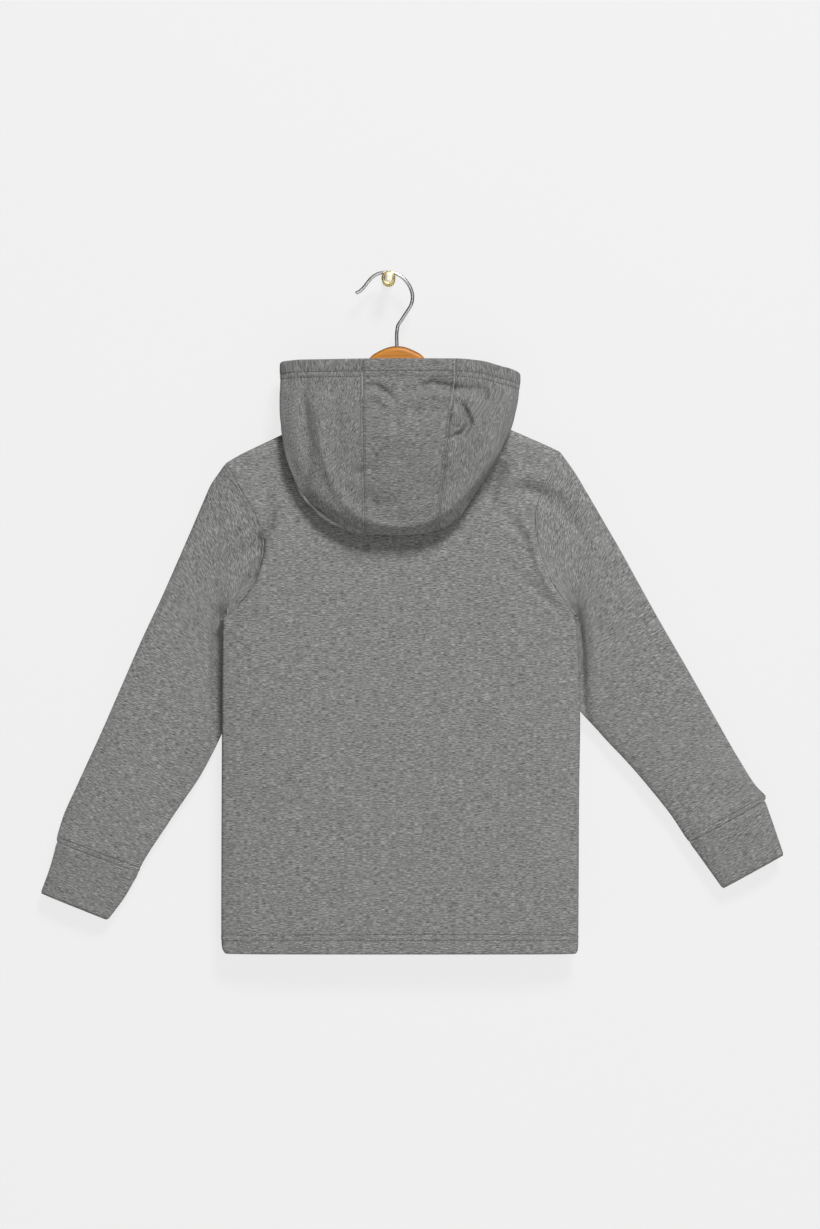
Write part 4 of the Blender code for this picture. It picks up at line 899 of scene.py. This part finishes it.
class Look:
    """A node material with its Principled shader, and the ways to add nodes to it."""

    def __init__(self, name, inputs):
        self.material = bpy.data.materials.new(name)
        self.material.use_nodes = True
        self.tree = self.material.node_tree
        self.shader = self.tree.nodes["Principled BSDF"]
        self.feed(self.shader, inputs)

    def feed(self, node, inputs):
        """Sets a node's inputs to values, or links them to other nodes' outputs."""
        for key, value in inputs.items():
            if isinstance(value, bpy.types.NodeSocket):
                self.tree.links.new(value, node.inputs[key])
            else:
                node.inputs[key].default_value = value

    def node(self, kind, inputs, output=0, **settings):
        """The output of a new node."""
        made = self.tree.nodes.new("ShaderNode" + kind)
        for key, value in settings.items():
            setattr(made, key, value)
        self.feed(made, inputs)
        return made.outputs[output]

    def noise(self, scale, detail, roughness=0.5, place=None):
        """A noise's value, in the object's own coordinates if no place is given."""
        place = place or self.node("TexCoord", {}, "Object")
        inputs = {"Vector": place, "Scale": scale, "Detail": detail, "Roughness": roughness}
        return self.node("TexNoise", inputs, "Fac")

    def stretched(self, place, scale, shift, detail, roughness):
        """A noise's value, stretched by a scale on each axis."""
        moved = self.node("Mapping", {"Vector": place, "Scale": scale, "Location": (shift, shift * 0.7, 0)})
        return self.noise(1, detail, roughness, moved)

    def weighted(self, *parts):
        """The sum of values, each times its weight."""
        total = 0
        for value, weight in parts:
            total = self.node("Math", {0: value, 1: weight, 2: total}, operation="MULTIPLY_ADD")
        return total

    def spread(self, value, low, high, to_low=0, to_high=1):
        """A value's range from low to high, made another range."""
        inputs = {"Value": value, "From Min": low, "From Max": high, "To Min": to_low, "To Max": to_high}
        return self.node("MapRange", inputs)

    def ramp(self, value, *stops):
        """A colour ramp over a value."""
        made = self.tree.nodes.new("ShaderNodeValToRGB")
        elements = made.color_ramp.elements
        for element, (position, _) in zip(elements, (stops[0], stops[-1])):
            element.position = position
        for position, _ in stops[1:-1]:
            elements.new(position)
        for element, (_, colour) in zip(elements, stops):
            element.color = (*colour, 1)
        self.feed(made, {"Fac": value})
        return made.outputs["Color"]

    def mix(self, share, first, second):
        """A mix of two colours."""
        return self.node("Mix", {0: share, 6: first, 7: second}, 2, data_type="RGBA")

    def colour(self, value):
        """Makes a value the material's colour."""
        self.feed(self.shader, {"Base Color": value})

    def bump(self, value, distance, strength=1):
        """Makes a height value the material's bump."""
        inputs = {"Height": value, "Distance": distance * MM, "Strength": strength}
        self.feed(self.shader, {"Normal": self.node("Bump", inputs)})


def marl_jersey(name, tone=1):
    """Grey marl jersey: fine flecks, darker and paler, stretched along the knit's courses."""
    inputs = {"Roughness": 0.92, "Specular IOR Level": 0.15, "Sheen Weight": 0.12, "Sheen Roughness": 0.5}
    look = Look(name, inputs)
    place = look.node("UVMap", {}, "UV", uv_map=CLOTH_MAP)
    short, long, patch, grain = (look.stretched(place, *fleck) for fleck in FLECKS)
    marl = look.weighted((short, 0.5), (long, 0.34), (patch, 0.07), (grain, 0.09))
    # tone makes the whole jersey darker; the hood's darker tone is painted shade
    shades = [(at, tone * grey) for at, grey in MARL_SHADES]
    look.colour(look.ramp(marl, *((at, (grey, grey, grey * WARMTH)) for at, grey in shades)))
    look.bump(look.weighted((short, 0.5), (grain, 0.5)), 0.15, 0.8)
    return look.material


def grey_thread():
    """Grey polyester thread."""
    look = Look("grey thread", {"Roughness": 0.7})
    value = look.noise(900, 1)
    look.colour(look.ramp(value, (0.35, (0.08, 0.08, 0.078)), (0.65, (0.14, 0.14, 0.137))))
    look.bump(value, 0.06)
    return look.material


def varnished_wood():
    """Orange-brown varnished wood, with painted shade: a dark line painted on the edge that faces up."""
    inputs = {"Roughness": 0.55, "Specular IOR Level": 0.3, "Coat Weight": 0.15, "Coat Roughness": 0.3}
    look = Look("varnished wood", inputs)
    place = look.node("TexCoord", {}, "Object")
    grain = look.stretched(place, (28, 300, 420), 0, 4, 0.6)
    bands = look.stretched(place, (8, 60, 95), 3, 2, 0.5)
    value = look.weighted((grain, 0.5), (bands, 0.5))
    tones = (0.34, (0.4, 0.13, 0.014)), (0.5, (0.58, 0.222, 0.026)), (0.66, (0.72, 0.31, 0.04))
    wood = look.ramp(value, *tones)
    # painted shade: where the faces look up, the colour is mixed towards dark brown
    facing_up_painted_shade = look.node("SeparateXYZ", {"Vector": look.node("NewGeometry", {}, "Normal")}, "Z")
    look.colour(look.mix(look.spread(facing_up_painted_shade, 0.55, 0.95), wood, (0.1, 0.032, 0.01, 1)))
    look.bump(grain, 0.08, 0.6)
    return look.material


def polished_metal(name, colour, roughness):
    """Plated metal with faint scuffs in its roughness."""
    look = Look(name, {"Metallic": 1})
    scuffs = look.noise(90, 1.5)
    look.feed(look.shader, {"Roughness": look.spread(scuffs, 0.35, 0.7, roughness * 0.92, roughness * 1.1)})
    plating = look.ramp(scuffs, (0.3, tuple(c * 0.94 for c in colour)), (0.6, colour))
    look.colour(plating)
    return look, plating


def brass_with_painted_highlight():
    """Brass whose head is painted pale inside its golden rim, a painted highlight."""
    look, plating = polished_metal("brass", BRASS, 0.36)
    place = look.node("TexCoord", {}, "Object")
    flat = look.node("VectorMath", {0: place, 1: (1, 0, 1)}, operation="MULTIPLY")
    away = look.node("VectorMath", {0: flat}, "Value", operation="LENGTH")
    outside = look.spread(away, PEG_DISC_RADIUS * MM, (PEG_DISC_RADIUS + 0.4) * MM)
    # painted highlight: the head's middle inside PEG_DISC_RADIUS gets the pale colour
    look.colour(look.mix(outside, (*PAINTED_HIGHLIGHT_BRASS, 1), plating))
    return look.material


def paint(name, colour):
    """Matt wall or floor paint with a faint unevenness."""
    look = Look(name, {"Roughness": 0.95, "Specular IOR Level": 0.1})
    look.colour(look.ramp(look.noise(3, 3), (0.3, tuple(c * 0.985 for c in colour)), (0.7, colour)))
    return look


# ---- the hanger and the peg


def tilted(x, z):
    """A point of the hanger's plane, turned by its tilt about the middle of the hump."""
    cos, sin = math.cos(HANGER_TILT), math.sin(HANGER_TILT)
    return HANGER_CENTRE_X + x * cos - z * sin, HUMP_CENTRE_Z + x * sin + z * cos


def wood_edges(away):
    """Top and bottom of the wood above the hump's centre, at a distance from it."""
    arm = ARM_APEX_Z - HUMP_CENTRE_Z - math.tan(ARM_SLOPE) * away
    hump = math.sqrt(HUMP_RADIUS**2 - away**2) if away < HUMP_RADIUS else arm
    corner = HUMP_CORNER * bump_at(away - HUMP_RADIUS + 3, HUMP_CORNER_WIDTH)
    taper = (ARM_HEIGHT - ARM_END_HEIGHT) * (away / ARM_REACH) ** 2
    return max(arm, hump) + corner, arm - ARM_HEIGHT + taper


def wood_section(x, end_share, corner_steps=8):
    """A ring of the wood: a rounded upright oblong, made smaller by end_share."""
    top, bottom = wood_edges(abs(x))
    middle, half_height = (top + bottom) / 2, (top - bottom) / 2 * end_share
    half_thick = WOOD_THICK / 2 * (0.45 + 0.55 * end_share)
    round_by = min(WOOD_ROUND, half_thick - 0.4, half_height - 0.3)
    points = []
    for corner, (side, rise) in enumerate([(1, 1), (-1, 1), (-1, -1), (1, -1)]):
        for step in range(corner_steps):
            turn = math.pi / 2 * (corner + step / (corner_steps - 1))
            y = side * (half_thick - round_by) + round_by * math.cos(turn)
            world_x, world_z = tilted(x, middle + rise * (half_height - round_by) + round_by * math.sin(turn))
            points.append((world_x, GARMENT_Y + y, world_z))
    return points


def lofted(name, rings, material):
    """A closed mesh through rings of points, capped at both ends."""
    rings = np.array(rings)
    index = np.arange(rings[..., 0].size).reshape(rings.shape[:2])
    faces = quads(closed(index)).tolist() + [index[0, ::-1].tolist(), index[-1].tolist()]
    made = mesh_object(name, rings.reshape(-1, 3), faces, material)
    made.data.set_sharp_from_angle(angle=math.radians(40))
    return made


def hanger_wood(material):
    """The wooden body, lofted from end to end."""
    end_round = ARM_END_HEIGHT / 2
    inner = list(np.linspace(0, 50, 41)) + list(np.linspace(54, ARM_REACH - end_round - 1, 24))
    sections = [(place, 1) for place in inner]
    for turn in np.linspace(0, math.radians(88), 12):
        sections.append((ARM_REACH - end_round * (1 - math.sin(turn)), math.cos(turn)))
    sections = [(-place, share) for place, share in reversed(sections[1:])] + sections
    rings = [wood_section(place, max(share, 0.16)) for place, share in sections]
    return lofted("hanger_wood_varnished", rings, material)


def hanger_hook(material):
    """The wire hook: a round bar along a smooth course, with a small burred end."""
    places = np.linspace(0, 1, 241)
    course = through_points([(x, GARMENT_Y, z) for x, z in HOOK_COURSE])[0](places)
    forward = unit(np.gradient(course, axis=0))
    level = np.array([0, 1, 0])
    turns = np.linspace(0, 2 * math.pi, WIRE_SIDES, endpoint=False)[None, :, None]
    radius = WIRE_RADIUS * np.sqrt(np.maximum(1 - (1 - ramp(places, 0, WIRE_END)) ** 2, 0.09))
    round_wire = np.cos(turns) * level + np.sin(turns) * np.cross(forward, level)[:, None]
    return lofted("hanger_hook_wire", course[:, None] + radius[:, None, None] * round_wire, material)


def wall_peg(material):
    """The peg, turned round its own axis."""
    turns = np.linspace(0, 2 * math.pi, PEG_SIDES, endpoint=False)
    round_peg = np.stack([np.cos(turns), 0 * turns, np.sin(turns)], axis=1)
    rings = [radius * round_peg - (0, depth, 0) for radius, depth in PEG_PROFILE]
    return lofted("wall_peg_brass", rings, material)


# ---- light, backdrop and camera

FLOOR_Z = HEM_Z - 450
BACKDROP = (3200, 4200, 1800)  # half its width, half its depth and the top of the wall
WALL_Y = 0.5
PHOTO_CENTRE = (19.35, -302.3)  # what the middle of the picture shows, x and z
PHOTO_HEIGHT = 1106.1  # what the picture spans at the garment
CAMERA_AWAY = 4000
OUTLINE_Y = -20  # the plane of the garment's outline, where the picture's scale holds
SENSOR_HEIGHT = 36
# Soft square lights: place, size and power.
LIGHTS = {
    "front": ((350, -5000, 300), 1500, 20),
    "above": ((1100, -3000, 3300), 1200, 240),
    "behind": ((0, 3000, 900), 2500, 40),
}


def one_sided(look):
    """Lets a material be seen only from the front of its faces."""
    back = look.node("NewGeometry", {}, "Backfacing")
    clear = look.node("BsdfTransparent", {})
    seen = look.node("MixShader", {0: back, 1: look.shader.outputs["BSDF"], 2: clear})
    look.feed(look.tree.nodes["Material Output"], {"Surface": seen})


def backdrop():
    """The wall behind the peg, which glows evenly and throws no shadow, and a floor."""
    wide, deep, high = BACKDROP
    wall_paint = paint("pale wall", (0.09, 0.09, 0.09))
    wall_paint.feed(wall_paint.shader, {"Emission Color": WHITE, "Emission Strength": 0.775})
    one_sided(wall_paint)
    square = [(-1, -1), (1, -1), (1, 1), (-1, 1)]
    corners = [(x * wide, WALL_Y, high if z > 0 else FLOOR_Z) for x, z in square]
    wall = mesh_object("backdrop_wall", corners, [(0, 1, 2, 3)], wall_paint.material)
    for ray in ("shadow", "diffuse", "glossy", "transmission"):
        setattr(wall, "visible_" + ray, False)
    corners = [(x * wide, y * deep, FLOOR_Z) for x, y in square]
    floor = mesh_object("floor", corners, [(0, 1, 2, 3)], paint("pale floor", (0.8, 0.8, 0.79)).material)


def lights():
    """A pale world and the soft lights."""
    world = bpy.data.worlds.new("pale room")
    world.use_nodes = True
    background = world.node_tree.nodes["Background"].inputs
    background["Color"].default_value = WHITE
    background["Strength"].default_value = 0.08
    bpy.context.scene.world = world
    target = Vector((PHOTO_CENTRE[0], GARMENT_Y, PHOTO_CENTRE[1]))
    for name, (place, size, power) in LIGHTS.items():
        data = bpy.data.lights.new(name, "AREA")
        data.shape, data.size, data.energy = "SQUARE", size * MM, power
        light = linked(name, data)
        light.location = Vector(place) * MM
        light.rotation_euler = (target - Vector(place)).to_track_quat("-Z", "Y").to_euler()


def camera():
    """A long lens level with the middle of the picture, looking along +Y."""
    data = bpy.data.cameras.new("camera")
    data.sensor_fit, data.sensor_height = "VERTICAL", SENSOR_HEIGHT
    data.lens = SENSOR_HEIGHT * CAMERA_AWAY / PHOTO_HEIGHT
    data.clip_end = 50
    made = linked("camera", data)
    made.location = Vector((PHOTO_CENTRE[0], OUTLINE_Y - CAMERA_AWAY, PHOTO_CENTRE[1])) * MM
    made.rotation_euler = (math.pi / 2, 0, 0)
    bpy.context.scene.camera = made


# ---- the pieces

# What each piece was cut to: width, length and area of the cloth that shows.
CUTS = {
    "back_panel": (323, 481, 144000),
    "front_panel": (323, 481, 140000),
    "sleeve_left": (300, 390, 60000),
    "sleeve_right": (300, 390, 58500),
    "cuff_left": (155, 48, 7200),
    "cuff_right": (155, 48, 7200),
    "hood_centre": (65, 325, 20500),
    "hood_left": (190, 230, 21700),
    "hood_right": (180, 210, 16500),
}
CUFF_TONE = 0.95  # how bright the cuffs' jersey is made beside the body's
# the hood's jersey is made darker than the body's as painted shade, though it is the same cloth
HOOD_PAINTED_SHADE = 0.84


def place_piece(made, node):
    """Puts a piece on the frame in place of its CAD node."""
    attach(made, "root")
    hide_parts(node)


def place_cloth(node, grids, jersey, rows, thread, around=False):
    """Builds a cloth piece and its stitches, and reads what the piece was cut to, which nothing uses."""
    made = shell(node + "_jersey", *grids, jersey, around)
    place_piece(made, node)
    sewn = [stitches(node + "_stitches", rows, thread)] if rows else []
    for each in sewn:
        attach(each, "root")
    width, length, area = CUTS[node]


def body(jersey, thread):
    """Both panels with their hems' stitches; their grids are returned for the hood."""
    grids = {-1: body_grids(-1, BACK_CREASES, 11), 1: body_grids(1, FRONT_CREASES, 23)}
    for side, node in ((-1, "back_panel"), (1, "front_panel")):
        # the front's rows run backwards, so that it faces outwards
        own = [grid[:, ::-side] for grid in grids[side]]
        rows = [line_beside(own[0], normals_of(own[0]), "first", row) for row in HEM_ROWS]
        place_cloth(node, own, jersey, rows, thread)
    return grids


def arms(jersey, cuff_jersey, thread):
    """Both sleeves and cuffs."""
    for word, half, rings, cuff_rings, back_creases, front_creases, seed, piece in (
        ("left", LEFT, LEFT_SLEEVE, LEFT_CUFF, LEFT_SLEEVE_CREASES, LEFT_SLEEVE_FRONT, 31, 1),
        ("right", RIGHT, RIGHT_SLEEVE, RIGHT_CUFF, RIGHT_SLEEVE_CREASES, RIGHT_SLEEVE_FRONT, 47, 2),
    ):
        outer, inner, normal = sleeve_grids(rings, half, back_creases, front_creases, seed)
        # the left tubes' rings run backwards, so that they face outwards
        grids = [grid[:, :: half.outward] for grid in (outer, inner, tube_flat(outer, piece), normal)]
        row = [np.concatenate([part, part[:1]]) for part in line_beside(grids[0], grids[3], "last", CUFF_ROW)]
        place_cloth("sleeve_" + word, grids[:3], jersey, [row], thread, around=True)
        outer, inner = cuff_grids(cuff_rings, half, seed + 3)
        grids = [grid[:, :: half.outward] for grid in (outer, inner, tube_flat(outer, piece + 2))]
        place_cloth("cuff_" + word, grids, cuff_jersey, [], thread, around=True)


def hood(grids, jersey, thread):
    """The hood's three pieces with their stitches."""
    for k, (outer, inner, normal) in enumerate(hood_grids(grids, 61)):
        flat = [distance_from(outer, "left"), distance_from(outer, "first")]
        flat = np.stack(flat if k == 1 else flat[::-1], axis=-1) + (PIECE_APART * (5 + k), 0)
        rows = [line_beside(outer, normal, "last", row) for row in HOOD_HEM_ROWS]
        rows += [line_beside(outer, normal, edge, FELL_ROW) for edge in HOOD_SEWN[k]]
        place_cloth(("hood_left", "hood_centre", "hood_right")[k], (outer, inner, flat), jersey, rows, thread)


def build():
    """The whole scene."""
    bpy.context.scene.view_settings.view_transform = "Standard"
    jersey = marl_jersey("grey marl jersey")
    cuff_jersey = marl_jersey("grey marl jersey, cuffs", CUFF_TONE)
    # a darker copy of the jersey for the hood: painted shade
    hood_jersey_painted_shade = marl_jersey("grey marl jersey, hood, painted shade", HOOD_PAINTED_SHADE)
    thread = grey_thread()
    grids = body(jersey, thread)
    arms(jersey, cuff_jersey, thread)
    hood(grids, hood_jersey_painted_shade, thread)
    place_piece(hanger_wood(varnished_wood()), "hanger_wood")
    place_piece(hanger_hook(polished_metal("chromed wire", CHROME, 0.3)[0].material), "hanger_hook")
    place_piece(wall_peg(brass_with_painted_highlight()), "wall_peg")
    backdrop()
    lights()
    camera()


build()
